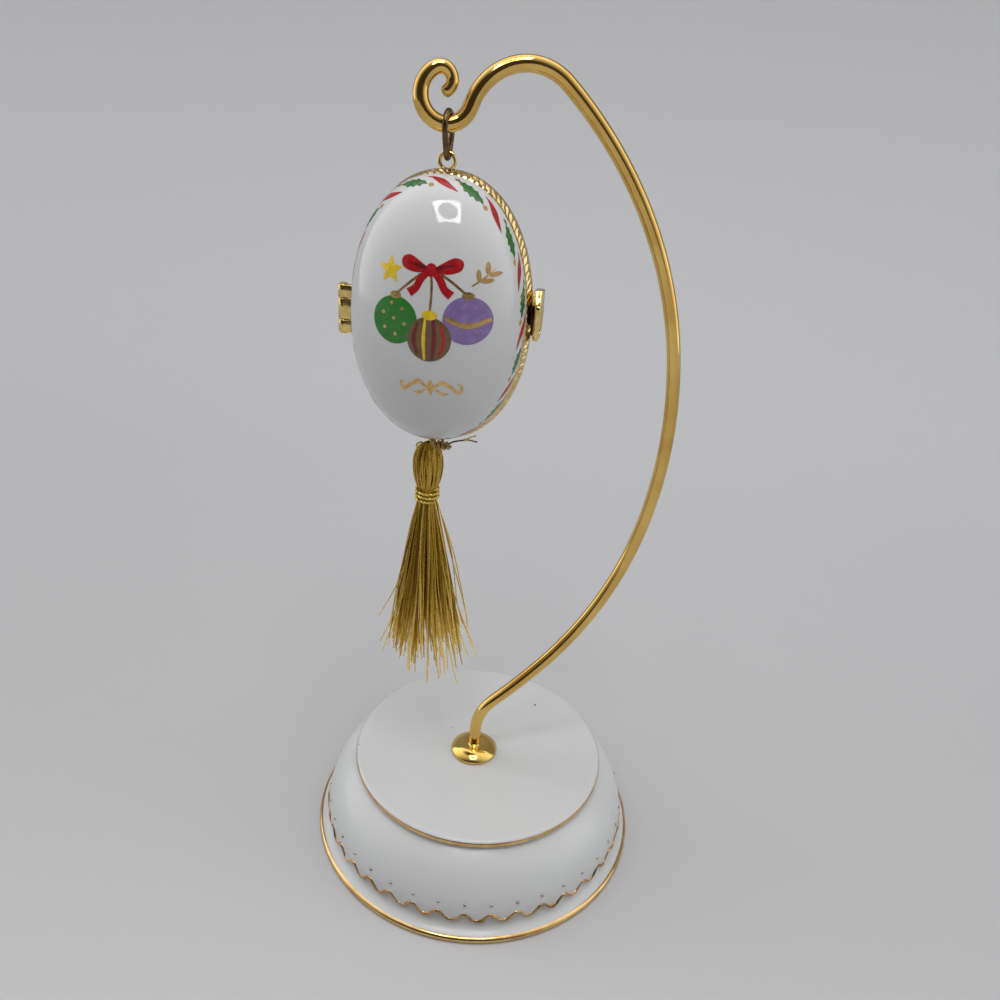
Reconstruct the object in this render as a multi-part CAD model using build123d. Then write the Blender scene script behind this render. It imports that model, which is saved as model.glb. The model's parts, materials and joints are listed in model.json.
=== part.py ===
from build123d import *
import math
import os

# A hinged porcelain egg that hangs from a bent brass hook on a porcelain base, with a thread tassel below it.
# Millimetres. The origin is the middle of the base's underside, +Z is up and the egg's front faces -Y.

# Base: a hollow porcelain bowl turned foot upwards, with a lipped disc on top
FOOT_RADIUS = 50.0
FOOT_LIP_HEIGHT = 1.8
FOOT_RING_WIDTH = 4.6
FLARE_DEPTH = 1.3
BOWL_RADIUS = 47.0
BOWL_START_Z = 8.0
BOWL_BULGE = 2.2
NECK_RADIUS = 36.8
NECK_Z = 22.4
DISC_RADIUS = 38.5
DISC_TOP_Z = 25.2
DISC_EDGE_ROUND = 1.0
DISC_DISH = 1.6
DISC_FLAT_RADIUS = 9.0
BASE_WALL = 3.6
BASE_TOP_WALL = 4.0
CAVITY_CHAMFER = 2.4
CAVITY_BULGE = 1.0
DISC_UNDERCUT = 0.35
SCALLOP_COUNT = 40
SCALLOP_LOW_Z = 5.1
SCALLOP_HEIGHT = 2.4
SCALLOP_FLAT = 1.0
SCALLOP_SWELL = 0.3
DOT_DIAMETER = 1.3
DOT_RISE = 0.5
DOT_Z = 10.7

# Hook: one bent rod, held in the base by a collar above and a nut below
ROD_DIAMETER = 3.6
ROD_HOLE_CLEARANCE = 0.2
ROD_COLLAR_CLEARANCE = 0.05
ROD_STRAIGHT_TOP_Z = 32.19
# The rod stands a little off the base's middle
ROD_X = -1.3
ROD_Y = -1.1
HOOK_YAW = 19.0
# The rod's bends as it is followed upwards, each a radius and a turn in degrees, left turns positive
FOOT_BEND_RADIUS = 14.2
FOOT_BEND_TURN = -49.29
ARM_RADIUS = 163.7
ARM_TURN = 6.96
BOW_LOW_RADIUS = 103.76
BOW_LOW_TURN = 30.5
BOW_HIGH_RADIUS = 120.97
BOW_HIGH_TURN = 22.69
SHOULDER_RADIUS = 101.78
SHOULDER_TURN = 39.06
CREST_RADIUS = 13.36
CREST_TURN = 110.98
HOOK_RUN = 0.42
HOOK_RADIUS = 5.63
HOOK_TURN = -158.0
CURL_RADIUS = 5.79
CURL_TURN = -65.0
TIP_RADIUS = 2.5
TIP_TURN = -176.0

COLLAR_DIAMETER = 14.4
COLLAR_HEIGHT = 3.4
COLLAR_EDGE = 0.8
GASKET_DIAMETER = 15.0
GASKET_THICKNESS = 1.0
WASHER_DIAMETER = 12.0
WASHER_THICKNESS = 1.0
NUT_FLATS = 7.0
NUT_HEIGHT = 3.2
ROD_TAIL = 2.0

# Hanger ring: a drop-shaped wire ring over the hook
RING_WIRE = 1.3
RING_HEIGHT = 9.4
RING_TOP_RADIUS = 3.2
RING_FOOT_RADIUS = 1.45
HANG_SHIFT = 0.7
HANG_CLEARANCE = 0.2
LINK_CLEARANCE = 0.1

# Eyelets: wire loops soldered to the top and the bottom of the egg's back rim
EYELET_WIRE = 0.9
EYELET_RADIUS = 1.8
EYELET_SET = 1.5
LOWER_EYELET_SET = 0.9

# Egg: two porcelain cups, each with a brass rim, closed on a seam that faces forward
EGG_SHIFT = 0.7
RIM_HALF_WIDTH = 21.75
RIM_TOP_HALF = 32.35
RIM_FOOT_HALF = 30.9
# The outline's fullness: 2 is an ellipse and more is blunter
OUTLINE_POWER = 2.15
OUTLINE_STEPS = 12
RIM_DEPTH = 2.55
RIM_ROUND = 0.45
RIM_PROUD = 1.35
SEAM_GAP = 0.2
SOLDER_FILM = 0.02
SHELL_DEPTH = 16.3
SHELL_WALL = 1.8

# Hinge at the egg's left
HINGE_STANDOFF = 3.35
KNUCKLE_DIAMETER = 2.7
KNUCKLE_END_HEIGHT = 3.1
KNUCKLE_MID_HEIGHT = 5.0
KNUCKLE_GAP = 0.15
HINGE_DROP = 0.9
PIN_DIAMETER = 1.1
PIN_RUNNING_CLEARANCE = 0.06
PIN_HEAD_HEIGHT = 0.35
PIN_HEAD_DIAMETER = 1.8
LEAF_THICKNESS = 1.3

# Clasp at the egg's right
CLASP_HEIGHT = 11.8
CLASP_WIDTH = 6.6
CLASP_THICKNESS = 1.3
CLASP_STANDOFF = 0.9
CLASP_TOP_BOW = 0.7
CLASP_FOOT_BOW = 0.3
CLASP_CORNER = 2.4
CLASP_RISE = 2.3
CLASP_SLOT_HEIGHT = 6.2
CLASP_SLOT_WIDTH = 2.2
CLASP_SLOT_DROP = 1.4
CLASP_FOOT_HEIGHT = 7.0
CATCH_LENGTH = 4.4
CATCH_RISE = 0.7

# Tassel: a cord loop, a bundle of folded thread, a wound cord binding and a skirt of loose ends
TASSEL_SHIFT = 1.9
LOOP_SHIFT = 0.6
LOOP_CORD = 0.9
LOOP_RADIUS = 1.3
LOOP_FOOT_RADIUS = 1.05
LOOP_LENGTH = 4.4
HEAD_DROP = 1.65
HEAD_RADIUS = 3.8
HEAD_LENGTH = 11.9
HEAD_WIDEST = 5.6
NECK_BUNDLE_RADIUS = 2.55
BINDING_LENGTH = 3.8
BINDING_CORD = 0.75
BINDING_PITCH = 1.2
BINDING_TURNS = 2.5
BINDING_CLEARANCE = 0.05
GAP_POINTS = 240
SKIRT_LENGTH = 50.0
SKIRT_RADIUS = 12.2
SKIRT_WAIST_RADIUS = 6.7
SKIRT_WAIST_DROP = 18.2
KNOT_SHIFT = 2.1
KNOT_FORWARD = 1.9
KNOT_DROP = 1.0
KNOT_LUMP_RADIUS = 1.15
KNOT_LUMP_SPREAD = 1.75
TIE_BEND = 0.8
TAIL_WIRE = 0.5
TAIL_RUN = 6.2
TAIL_RISE = 2.3
TAIL_CROOK_RISE = 1.5
FORK_BEAD_RADIUS = 0.45
FORK_LENGTH = 2.85
FORK_LEAN = 13.0
FORK_SPREAD = 16.0


# Places worked out from the driving dimensions
ARM_BENDS = [
    (FOOT_BEND_RADIUS, FOOT_BEND_TURN),
    (ARM_RADIUS, ARM_TURN),
    (BOW_LOW_RADIUS, BOW_LOW_TURN),
    (BOW_HIGH_RADIUS, BOW_HIGH_TURN),
    (SHOULDER_RADIUS, SHOULDER_TURN),
    (CREST_RADIUS, CREST_TURN),
]
CURL_BENDS = [(HOOK_RADIUS, HOOK_TURN), (CURL_RADIUS, CURL_TURN), (TIP_RADIUS, TIP_TURN)]
HOOK_PLANE = Plane(
    origin=(ROD_X, ROD_Y, 0),
    x_dir=(math.cos(math.radians(HOOK_YAW)), math.sin(math.radians(HOOK_YAW)), 0),
    z_dir=(math.sin(math.radians(HOOK_YAW)), -math.cos(math.radians(HOOK_YAW)), 0),
)
TOP_SURFACE_Z = DISC_TOP_Z - DISC_DISH
CAVITY_TOP_Z = TOP_SURFACE_Z - BASE_TOP_WALL
GASKET_Z = CAVITY_TOP_Z - GASKET_THICKNESS
WASHER_Z = GASKET_Z - WASHER_THICKNESS
NUT_Z = WASHER_Z - NUT_HEIGHT
ROD_BOTTOM_Z = NUT_Z - ROD_TAIL


def hook_edges():
    """The rod's centreline in its own plane, from its foot to the tip of the curl."""
    edges = [Line((0, ROD_BOTTOM_Z), (0, ROD_STRAIGHT_TOP_Z))]
    for radius, turn in ARM_BENDS:
        edges.append(JernArc(edges[-1] @ 1, edges[-1] % 1, radius, turn))
    edges.append(Line(edges[-1] @ 1, edges[-1] @ 1 + (edges[-1] % 1) * HOOK_RUN))
    for radius, turn in CURL_BENDS:
        edges.append(JernArc(edges[-1] @ 1, edges[-1] % 1, radius, turn))
    return edges


# The ring rests close to the lowest point of the first bend of the curl, a little towards the crest
HOOK_EDGES = hook_edges()
HOOK_LOW = HOOK_EDGES[len(ARM_BENDS) + 2].arc_center - Vector(0, HOOK_RADIUS, 0)
HANG_X = ROD_X + (HOOK_LOW.X + HANG_SHIFT) * math.cos(math.radians(HOOK_YAW))
HANG_Y = ROD_Y + (HOOK_LOW.X + HANG_SHIFT) * math.sin(math.radians(HOOK_YAW))
HOOK_LOW_Z = HOOK_LOW.Y

RING_TOP_Z = HOOK_LOW_Z + ROD_DIAMETER / 2 + HANG_CLEARANCE + RING_WIRE / 2
RING_FOOT_Z = RING_TOP_Z - RING_HEIGHT
RING_PLANE = Plane(origin=(HANG_X, HANG_Y, RING_TOP_Z), x_dir=(0, 1, 0), z_dir=(1, 0, 0))
EYELET_Z = RING_FOOT_Z + RING_WIRE / 2 + LINK_CLEARANCE + EYELET_WIRE / 2 - EYELET_RADIUS
EGG_TOP_Z = EYELET_Z - EYELET_SET
EGG_Z = EGG_TOP_Z - RIM_TOP_HALF
EGG_BOTTOM_Z = EGG_Z - RIM_FOOT_HALF
SEAM_Y = HANG_Y - RIM_DEPTH / 2
EGG_X = HANG_X + EGG_SHIFT
SEAM_PLANE = Plane(origin=(EGG_X, SEAM_Y, EGG_Z), x_dir=(1, 0, 0), z_dir=(0, -1, 0))
HINGE_X = EGG_X - RIM_HALF_WIDTH - HINGE_STANDOFF
HINGE_Z = EGG_Z - HINGE_DROP
CLASP_X = EGG_X + RIM_HALF_WIDTH + CLASP_STANDOFF
CLASP_Z = EGG_Z + CLASP_RISE

LOWER_EYELET_Z = EGG_BOTTOM_Z - LOWER_EYELET_SET
TASSEL_X = HANG_X - TASSEL_SHIFT
LOOP_X = HANG_X - LOOP_SHIFT
TASSEL_PIVOT_Z = LOWER_EYELET_Z - math.sqrt(EYELET_RADIUS**2 - LOOP_SHIFT**2)
# The cord lies in the eyelet's hole, a clearance away from its wire.
# It leans from there to the tassel's middle.
LOOP_OFFSET = EYELET_RADIUS - EYELET_WIRE / 2 - LINK_CLEARANCE - LOOP_CORD / 2
LOOP_TOP_Z = LOWER_EYELET_Z - math.sqrt(LOOP_OFFSET**2 - LOOP_SHIFT**2)
LOOP_LEAN = math.asin((TASSEL_SHIFT - LOOP_SHIFT) / LOOP_LENGTH)
LOOP_PLANE = Plane(
    origin=(LOOP_X, HANG_Y, LOOP_TOP_Z),
    x_dir=(0, 1, 0),
    z_dir=(math.cos(LOOP_LEAN), 0, -math.sin(LOOP_LEAN)),
)
HEAD_TOP_Z = LOOP_TOP_Z - HEAD_DROP
BINDING_TOP_Z = HEAD_TOP_Z - HEAD_LENGTH
SKIRT_TOP_Z = BINDING_TOP_Z - BINDING_LENGTH
SKIRT_BOTTOM_Z = SKIRT_TOP_Z - SKIRT_LENGTH


def bowl_radius(z):
    """Radius of the bowl's outer face at a height, on the arc from its start to the neck."""
    arc = bowl_arc()
    center = arc.arc_center
    return center.X + math.sqrt(arc.radius**2 - (z - center.Y) ** 2)


def bowl_arc():
    start = Vector(BOWL_RADIUS, BOWL_START_Z)
    end = Vector(NECK_RADIUS, NECK_Z)
    outward = Vector(end.Y - start.Y, start.X - end.X).normalized()
    return ThreePointArc(start, (start + end) / 2 + outward * BOWL_BULGE, end)


def make_base():
    """The porcelain base: foot, flare, bowl with a scalloped hem and dots, neck and lipped disc."""
    flare_top = Vector(BOWL_RADIUS - FLARE_DEPTH, SCALLOP_LOW_Z)
    foot_top = Vector(FOOT_RADIUS - FOOT_LIP_HEIGHT / 2, FOOT_LIP_HEIGHT)
    foot_low = Vector(FOOT_RADIUS - FOOT_LIP_HEIGHT / 2, 0)
    foot_mid = Vector(FOOT_RADIUS, FOOT_LIP_HEIGHT / 2)
    inward = Vector(flare_top.Y - foot_top.Y, foot_top.X - flare_top.X).normalized()
    flare_mid = (flare_top + foot_top) / 2 - inward * FLARE_DEPTH / 2
    cavity_foot = Vector(FOOT_RADIUS - FOOT_RING_WIDTH, 0)
    cavity_bowl = Vector(BOWL_RADIUS - FLARE_DEPTH - BASE_WALL, BOWL_START_Z)
    cavity_top = Vector(NECK_RADIUS - BASE_WALL, CAVITY_TOP_Z - CAVITY_CHAMFER)
    cavity_mid = (cavity_bowl + cavity_top) / 2 + Vector(CAVITY_BULGE, CAVITY_BULGE)
    disc_under = Vector(DISC_RADIUS - DISC_EDGE_ROUND, NECK_Z + DISC_UNDERCUT)
    disc_edge = Vector(DISC_RADIUS, DISC_TOP_Z - DISC_EDGE_ROUND)
    disc_top = Vector(DISC_RADIUS - DISC_EDGE_ROUND, DISC_TOP_Z)
    dish_low = Vector(DISC_FLAT_RADIUS, TOP_SURFACE_Z)
    dish_mid = Vector((disc_top.X + dish_low.X) / 2, TOP_SURFACE_Z + DISC_DISH / 4)
    profile = [
        Line(cavity_foot, foot_low),
        ThreePointArc(foot_low, foot_mid, foot_top),
        ThreePointArc(foot_top, flare_mid, flare_top),
        Line(flare_top, (BOWL_RADIUS, SCALLOP_LOW_Z)),
        Line((BOWL_RADIUS, SCALLOP_LOW_Z), (BOWL_RADIUS, BOWL_START_Z)),
        bowl_arc(),
        Line((NECK_RADIUS, NECK_Z), disc_under),
        ThreePointArc(disc_under, disc_edge, disc_top),
        ThreePointArc(disc_top, dish_mid, dish_low),
        Line(dish_low, (0, TOP_SURFACE_Z)),
        Line((0, TOP_SURFACE_Z), (0, CAVITY_TOP_Z)),
        Line((0, CAVITY_TOP_Z), (cavity_top.X - CAVITY_CHAMFER, CAVITY_TOP_Z)),
        Line((cavity_top.X - CAVITY_CHAMFER, CAVITY_TOP_Z), cavity_top),
        ThreePointArc(cavity_top, cavity_mid, cavity_bowl),
        Line(cavity_bowl, cavity_foot),
    ]
    body = revolve(Plane.XZ * make_face(profile), Axis.Z)
    hole = Cylinder(ROD_DIAMETER / 2 + ROD_HOLE_CLEARANCE, 3 * BASE_TOP_WALL)
    body -= Pos(ROD_X, ROD_Y, TOP_SURFACE_Z) * hole
    return body - around(make_notch()) + around(make_dot())


def around(piece):
    """Copies of a piece round the base, one for each scallop."""
    pitch = 360 / SCALLOP_COUNT
    return [Rot(0, 0, pitch * index) * piece for index in range(SCALLOP_COUNT)]


def make_notch():
    """The cusped gap between two round lobes of the bowl's hem."""
    half = math.pi * BOWL_RADIUS / SCALLOP_COUNT - SCALLOP_FLAT / 2
    peak = Vector(0, SCALLOP_LOW_Z + SCALLOP_HEIGHT)
    left = Vector(-half, SCALLOP_LOW_Z)
    right = Vector(half, SCALLOP_LOW_Z)
    outline = [
        Line(left, right),
        ThreePointArc(right, (right + peak) / 2 + Vector(-SCALLOP_SWELL, -SCALLOP_SWELL), peak),
        ThreePointArc(peak, (left + peak) / 2 + Vector(SCALLOP_SWELL, -SCALLOP_SWELL), left),
    ]
    outward = Plane(origin=(0, 0, 0), x_dir=(0, 1, 0), z_dir=(1, 0, 0))
    prism = extrude(outward * make_face(outline), BOWL_RADIUS + FLARE_DEPTH)
    return prism - Cylinder(BOWL_RADIUS - FLARE_DEPTH, DISC_TOP_Z)


def make_dot():
    """A raised slip dot on the bowl, above a gap of the hem."""
    depth = BASE_WALL / 2 + DOT_RISE
    peg = Cylinder(DOT_DIAMETER / 2, depth, align=(Align.CENTER, Align.CENTER, Align.MAX))
    return Pos(bowl_radius(DOT_Z) + DOT_RISE, 0, DOT_Z) * Rot(0, 90, 0) * peg


def make_hook():
    """The bent rod with a rounded tip."""
    path = HOOK_PLANE * Wire(HOOK_EDGES)
    section = Plane(origin=path @ 0, z_dir=path % 0) * Circle(ROD_DIAMETER / 2)
    rod = sweep(section, path=path)
    tip = Pos(path @ 1) * Sphere(ROD_DIAMETER / 2)
    return rod + tip


def make_collar():
    """The domed button that hides the hole where the rod enters the base."""
    radius = COLLAR_DIAMETER / 2
    hole = ROD_DIAMETER / 2 + ROD_COLLAR_CLEARANCE
    crown = Vector(hole, COLLAR_HEIGHT)
    shoulder = Vector(radius, COLLAR_EDGE)
    dome_mid = Vector((hole + radius) / 2 + COLLAR_EDGE / 2, (COLLAR_HEIGHT + COLLAR_EDGE) / 2 + COLLAR_EDGE)
    profile = [
        Line((hole, 0), (radius - COLLAR_EDGE / 2, 0)),
        Line((radius - COLLAR_EDGE / 2, 0), shoulder),
        ThreePointArc(shoulder, dome_mid, crown),
        Line(crown, (hole, 0)),
    ]
    return Pos(ROD_X, ROD_Y, TOP_SURFACE_Z) * revolve(Plane.XZ * make_face(profile), Axis.Z)


def make_ring_plate(outer, thickness, bottom_z):
    """A flat washer round the rod."""
    plate = Circle(outer / 2) - Circle(ROD_DIAMETER / 2 + ROD_HOLE_CLEARANCE)
    return Pos(ROD_X, ROD_Y, bottom_z) * extrude(plate, thickness)


def make_nut():
    """The hexagon nut under the washer, screwed on the rod's foot."""
    corner = NUT_FLATS / math.sqrt(3)
    plate = RegularPolygon(corner, 6) - Circle(ROD_DIAMETER / 2 + ROD_COLLAR_CLEARANCE)
    return Pos(ROD_X, ROD_Y, NUT_Z) * extrude(plate, NUT_HEIGHT)


def drop_path(plane, height, top_radius, foot_radius):
    """A closed drop shape that hangs from the origin of a plane: two arcs joined by tangent lines."""
    high = -top_radius
    low = foot_radius - height
    lean = math.asin((top_radius - foot_radius) / (high - low))
    reach = math.cos(lean)
    drop = -math.sin(lean)
    right_high = (top_radius * reach, high + top_radius * drop)
    left_high = (-top_radius * reach, high + top_radius * drop)
    right_low = (foot_radius * reach, low + foot_radius * drop)
    left_low = (-foot_radius * reach, low + foot_radius * drop)
    edges = [
        Line(right_low, right_high),
        ThreePointArc(right_high, (0, 0), left_high),
        Line(left_high, left_low),
        ThreePointArc(left_low, (0, -height), right_low),
    ]
    return plane * Wire(edges)


def tube(path, diameter):
    """A round wire along a path."""
    section = Plane(origin=path @ 0, z_dir=path % 0) * Circle(diameter / 2)
    return sweep(section, path=path)


def make_hanger_ring():
    return tube(drop_path(RING_PLANE, RING_HEIGHT, RING_TOP_RADIUS, RING_FOOT_RADIUS), RING_WIRE)


def oval_arc(half_width, half_height, start, turn):
    """Part of an oval that is a little blunter than an ellipse, from a start angle through a turn."""
    count = round(OUTLINE_STEPS * turn / 90)
    points = []
    for step in range(count + 1):
        angle = math.radians(start + turn * step / count)
        across = math.cos(angle)
        along = math.sin(angle)
        x = math.copysign(abs(across) ** (2 / OUTLINE_POWER), across) * half_width
        y = math.copysign(abs(along) ** (2 / OUTLINE_POWER), along) * half_height
        points.append((x, y))
    ways = [(-math.sin(math.radians(end)), math.cos(math.radians(end))) for end in (start, start + turn)]
    return Spline(points, tangents=ways)


def egg_outline(half_width, top_half, foot_half):
    """The egg's outline in the seam plane: two half ovals on one width."""
    return make_face([oval_arc(half_width, top_half, 0, 180), oval_arc(half_width, foot_half, 180, 180)])


def rim_outline(inset):
    return egg_outline(RIM_HALF_WIDTH - inset, RIM_TOP_HALF - inset, RIM_FOOT_HALF - inset)


def rim_block():
    """The slab inside the rims' outline and a solder film, which trims what is soldered to them."""
    return extrude(SEAM_PLANE * rim_outline(-SOLDER_FILM), CLASP_WIDTH, both=True)


def make_rim(front):
    """One brass rim: an oval band with eased outer edges, from the seam to the edge of its cup."""
    side = 1 if front else -1
    start = SEAM_GAP if front else 0
    ring = rim_outline(0) - rim_outline(RIM_PROUD + SHELL_WALL)
    band = extrude(SEAM_PLANE * Pos(0, 0, side * start) * ring, side * (RIM_DEPTH - start))
    outer_y = SEAM_Y - side * RIM_DEPTH
    outer_edges = [
        edge
        for edge in band.edges()
        if abs(edge.center().Y - outer_y) < 0.01 and edge.length > math.pi * RIM_HALF_WIDTH
    ]
    longest = max(edge.length for edge in outer_edges)
    rounded = [edge for edge in outer_edges if edge.length > longest - 2 * RIM_PROUD]
    return fillet(rounded, RIM_ROUND)


def half_egg(inset, front):
    """Half of an egg solid: a half turn of the outline, pressed to the cup's depth."""
    half_width = RIM_HALF_WIDTH - RIM_PROUD - inset
    top_half = RIM_TOP_HALF - RIM_PROUD - inset
    foot_half = RIM_FOOT_HALF - RIM_PROUD - inset
    profile = make_face(
        [
            oval_arc(half_width, top_half, 0, 90),
            Line((0, top_half), (0, -foot_half)),
            oval_arc(half_width, foot_half, 270, 90),
        ]
    )
    half = revolve(Plane.XZ * profile, Axis.Z, 180)
    if front:
        half = Rot(0, 0, 180) * half
    return scale(half, by=(1, (SHELL_DEPTH - inset) / half_width, 1))


def make_shell(front):
    """One porcelain cup, open on the seam side."""
    side = -1 if front else 1
    cup = half_egg(0, front) - half_egg(SHELL_WALL, front)
    return Pos(EGG_X, SEAM_Y + side * RIM_DEPTH, EGG_Z) * cup


def make_eyelet(center_z):
    """A wire loop that stands on the back rim."""
    loop = Pos(HANG_X, HANG_Y, center_z) * Rot(90, 0, 0) * Torus(EYELET_RADIUS, EYELET_WIRE / 2)
    return loop - rim_block()


def make_knuckle(low_z, height, front, bore):
    """One hinge knuckle with the leaf that joins it to its rim."""
    barrel = Pos(HINGE_X, SEAM_Y, low_z) * Cylinder(
        KNUCKLE_DIAMETER / 2, height, align=(Align.CENTER, Align.CENTER, Align.MIN)
    )
    side = -1 if front else 1
    start = SEAM_GAP if front else 0
    leaf = Pos(HINGE_X, SEAM_Y + side * start, low_z) * Box(
        HINGE_STANDOFF + RIM_PROUD,
        LEAF_THICKNESS - start,
        height,
        align=(Align.MIN, Align.MAX if front else Align.MIN, Align.MIN),
    )
    pin_hole = Pos(HINGE_X, SEAM_Y, low_z) * Cylinder(bore / 2, height * 3)
    return barrel + (leaf - rim_block()) - pin_hole


KNUCKLE_LOW_Z = HINGE_Z - KNUCKLE_MID_HEIGHT / 2 - KNUCKLE_GAP - KNUCKLE_END_HEIGHT
KNUCKLE_HIGH_Z = HINGE_Z + KNUCKLE_MID_HEIGHT / 2 + KNUCKLE_GAP


def make_pin():
    """The hinge pin, with a small head at each end."""
    low = KNUCKLE_LOW_Z
    high = KNUCKLE_HIGH_Z + KNUCKLE_END_HEIGHT
    pin = Pos(HINGE_X, SEAM_Y, (low + high) / 2) * Cylinder(PIN_DIAMETER / 2, high - low)
    head = Cylinder(PIN_HEAD_DIAMETER / 2, PIN_HEAD_HEIGHT)
    pin += Pos(HINGE_X, SEAM_Y, high + PIN_HEAD_HEIGHT / 2) * head
    return pin + Pos(HINGE_X, SEAM_Y, low - PIN_HEAD_HEIGHT / 2) * head


def make_clasp_tab():
    """The thumb tab on the back rim, which reaches over the seam: a bowed and slotted plate."""
    across = Plane(origin=(CLASP_X, SEAM_Y, CLASP_Z), x_dir=(0, 1, 0), z_dir=(1, 0, 0))
    plate = RectangleRounded(CLASP_WIDTH, CLASP_HEIGHT, CLASP_CORNER)
    slot_run = CLASP_SLOT_HEIGHT - CLASP_SLOT_WIDTH
    slot = Pos(0, -CLASP_SLOT_DROP) * SlotCenterToCenter(slot_run, CLASP_SLOT_WIDTH, 90)
    inner_top = Vector(-CLASP_TOP_BOW, CLASP_HEIGHT / 2)
    inner_low = Vector(-CLASP_FOOT_BOW, -CLASP_HEIGHT / 2)
    through = Vector(CLASP_THICKNESS, 0)
    bow = [
        ThreePointArc(inner_top, (0, 0), inner_low),
        Line(inner_low, inner_low + through),
        ThreePointArc(inner_low + through, through, inner_top + through),
        Line(inner_top + through, inner_top),
    ]
    upright = Plane(origin=(CLASP_X, SEAM_Y, CLASP_Z), x_dir=(1, 0, 0), z_dir=(0, -1, 0))
    sheet = extrude(upright * make_face(bow), CLASP_WIDTH, both=True)
    tab = extrude(across * (plate - slot), 2 * CLASP_THICKNESS, both=True) & sheet
    foot = Pos(CLASP_X, SEAM_Y, CLASP_Z - CLASP_SLOT_DROP) * Box(
        CLASP_STANDOFF + 2 * RIM_PROUD,
        RIM_DEPTH - RIM_ROUND,
        CLASP_FOOT_HEIGHT,
        align=(Align.MAX, Align.MIN, Align.CENTER),
    )
    return tab + (foot - rim_block())


def make_clasp_catch():
    """The bead on the front rim that the tab snaps over."""
    middle_y = SEAM_Y - (SEAM_GAP + RIM_DEPTH - RIM_ROUND) / 2
    bead = Pos(EGG_X + RIM_HALF_WIDTH, middle_y, CLASP_Z) * scale(
        Sphere(1), by=(CATCH_RISE, (RIM_DEPTH - RIM_ROUND - SEAM_GAP) / 2, CATCH_LENGTH / 2)
    )
    return bead - rim_block()


def make_tassel_loop():
    """The cord loop that hangs the tassel in the lower eyelet."""
    return tube(drop_path(LOOP_PLANE, LOOP_LENGTH, LOOP_RADIUS, LOOP_FOOT_RADIUS), LOOP_CORD)


def make_tassel_head(loop):
    """The folded thread bundle, from its rounded top to the end of the bound neck."""
    widest_z = HEAD_TOP_Z - HEAD_WIDEST
    shoulder = 1 / math.sqrt(2)
    crown_mid = (HEAD_RADIUS * shoulder, widest_z + HEAD_WIDEST * shoulder)
    lower_mid = ((HEAD_RADIUS * 3 + NECK_BUNDLE_RADIUS) / 4, (widest_z + BINDING_TOP_Z) / 2)
    profile = [
        ThreePointArc((0, HEAD_TOP_Z), crown_mid, (HEAD_RADIUS, widest_z)),
        ThreePointArc((HEAD_RADIUS, widest_z), lower_mid, (NECK_BUNDLE_RADIUS, BINDING_TOP_Z)),
        Line((NECK_BUNDLE_RADIUS, BINDING_TOP_Z), (NECK_BUNDLE_RADIUS, SKIRT_TOP_Z)),
        Line((NECK_BUNDLE_RADIUS, SKIRT_TOP_Z), (0, SKIRT_TOP_Z)),
        Line((0, SKIRT_TOP_Z), (0, HEAD_TOP_Z)),
    ]
    bundle = Pos(TASSEL_X, HANG_Y, 0) * revolve(Plane.XZ * make_face(profile), Axis.Z)
    return bundle - loop


def make_tassel_skirt():
    """The loose thread ends as one flared solid."""
    neck = (NECK_BUNDLE_RADIUS, SKIRT_TOP_Z)
    waist = (SKIRT_WAIST_RADIUS, SKIRT_TOP_Z - SKIRT_WAIST_DROP)
    hem = (SKIRT_RADIUS, SKIRT_BOTTOM_Z)
    profile = [
        ThreePointArc(neck, waist, hem),
        Line(hem, (0, SKIRT_BOTTOM_Z)),
        Line((0, SKIRT_BOTTOM_Z), (0, SKIRT_TOP_Z)),
        Line((0, SKIRT_TOP_Z), neck),
    ]
    return Pos(TASSEL_X, HANG_Y, 0) * revolve(Plane.XZ * make_face(profile), Axis.Z)


def biarc(start, start_way, end, end_way):
    """Two arcs that meet smoothly and join two points with given directions."""
    across = end - start
    spread = 2 * (1 - start_way.dot(end_way))
    along = across.dot(start_way + end_way)
    reach = (-along + math.sqrt(along**2 + 2 * spread * across.dot(across))) / spread
    before = start + start_way * reach
    after = end - end_way * reach
    middle = (before + after) / 2
    return [TangentArc(start, middle, tangent=start_way), TangentArc(middle, end, tangent=after - before)]


def make_tassel_binding():
    """The cord wound round the tassel's neck: one helix on arcs of a quarter turn, with straight ends."""
    radius = NECK_BUNDLE_RADIUS + BINDING_CLEARANCE + BINDING_CORD / 2
    steps = round(BINDING_TURNS * 4)
    height = BINDING_PITCH * BINDING_TURNS
    low = (BINDING_TOP_Z + SKIRT_TOP_Z - height) / 2
    climb = BINDING_PITCH / (2 * math.pi * radius)
    points = []
    ways = []
    for step in range(steps + 1):
        turn = math.radians(-90 * step)
        rise = low + BINDING_PITCH * step / 4
        points.append(Vector(radius * math.cos(turn), radius * math.sin(turn), rise))
        ways.append(Vector(math.sin(turn), -math.cos(turn), climb).normalized())
    edges = [Line(points[0] - ways[0] * BINDING_CORD, points[0])]
    for step in range(steps):
        edges += biarc(points[step], ways[step], points[step + 1], ways[step + 1])
    edges.append(Line(points[-1], points[-1] + ways[-1] * BINDING_CORD))
    path = Pos(TASSEL_X, HANG_Y, 0) * Wire(edges)
    print("binding: least gap to itself", round(least_gap(path, BINDING_CORD), 3), "mm")
    return tube(path, BINDING_CORD)


def least_gap(path, diameter):
    """The least gap between two passes of a wound cord, measured on points along it."""
    count = GAP_POINTS
    points = [path @ (index / count) for index in range(count + 1)]
    step = path.length / count
    apart = math.ceil(math.pi * diameter / step)
    nearest = min(
        (points[first] - points[second]).length
        for first in range(count + 1)
        for second in range(first + apart, count + 1)
    )
    return nearest - diameter


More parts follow.
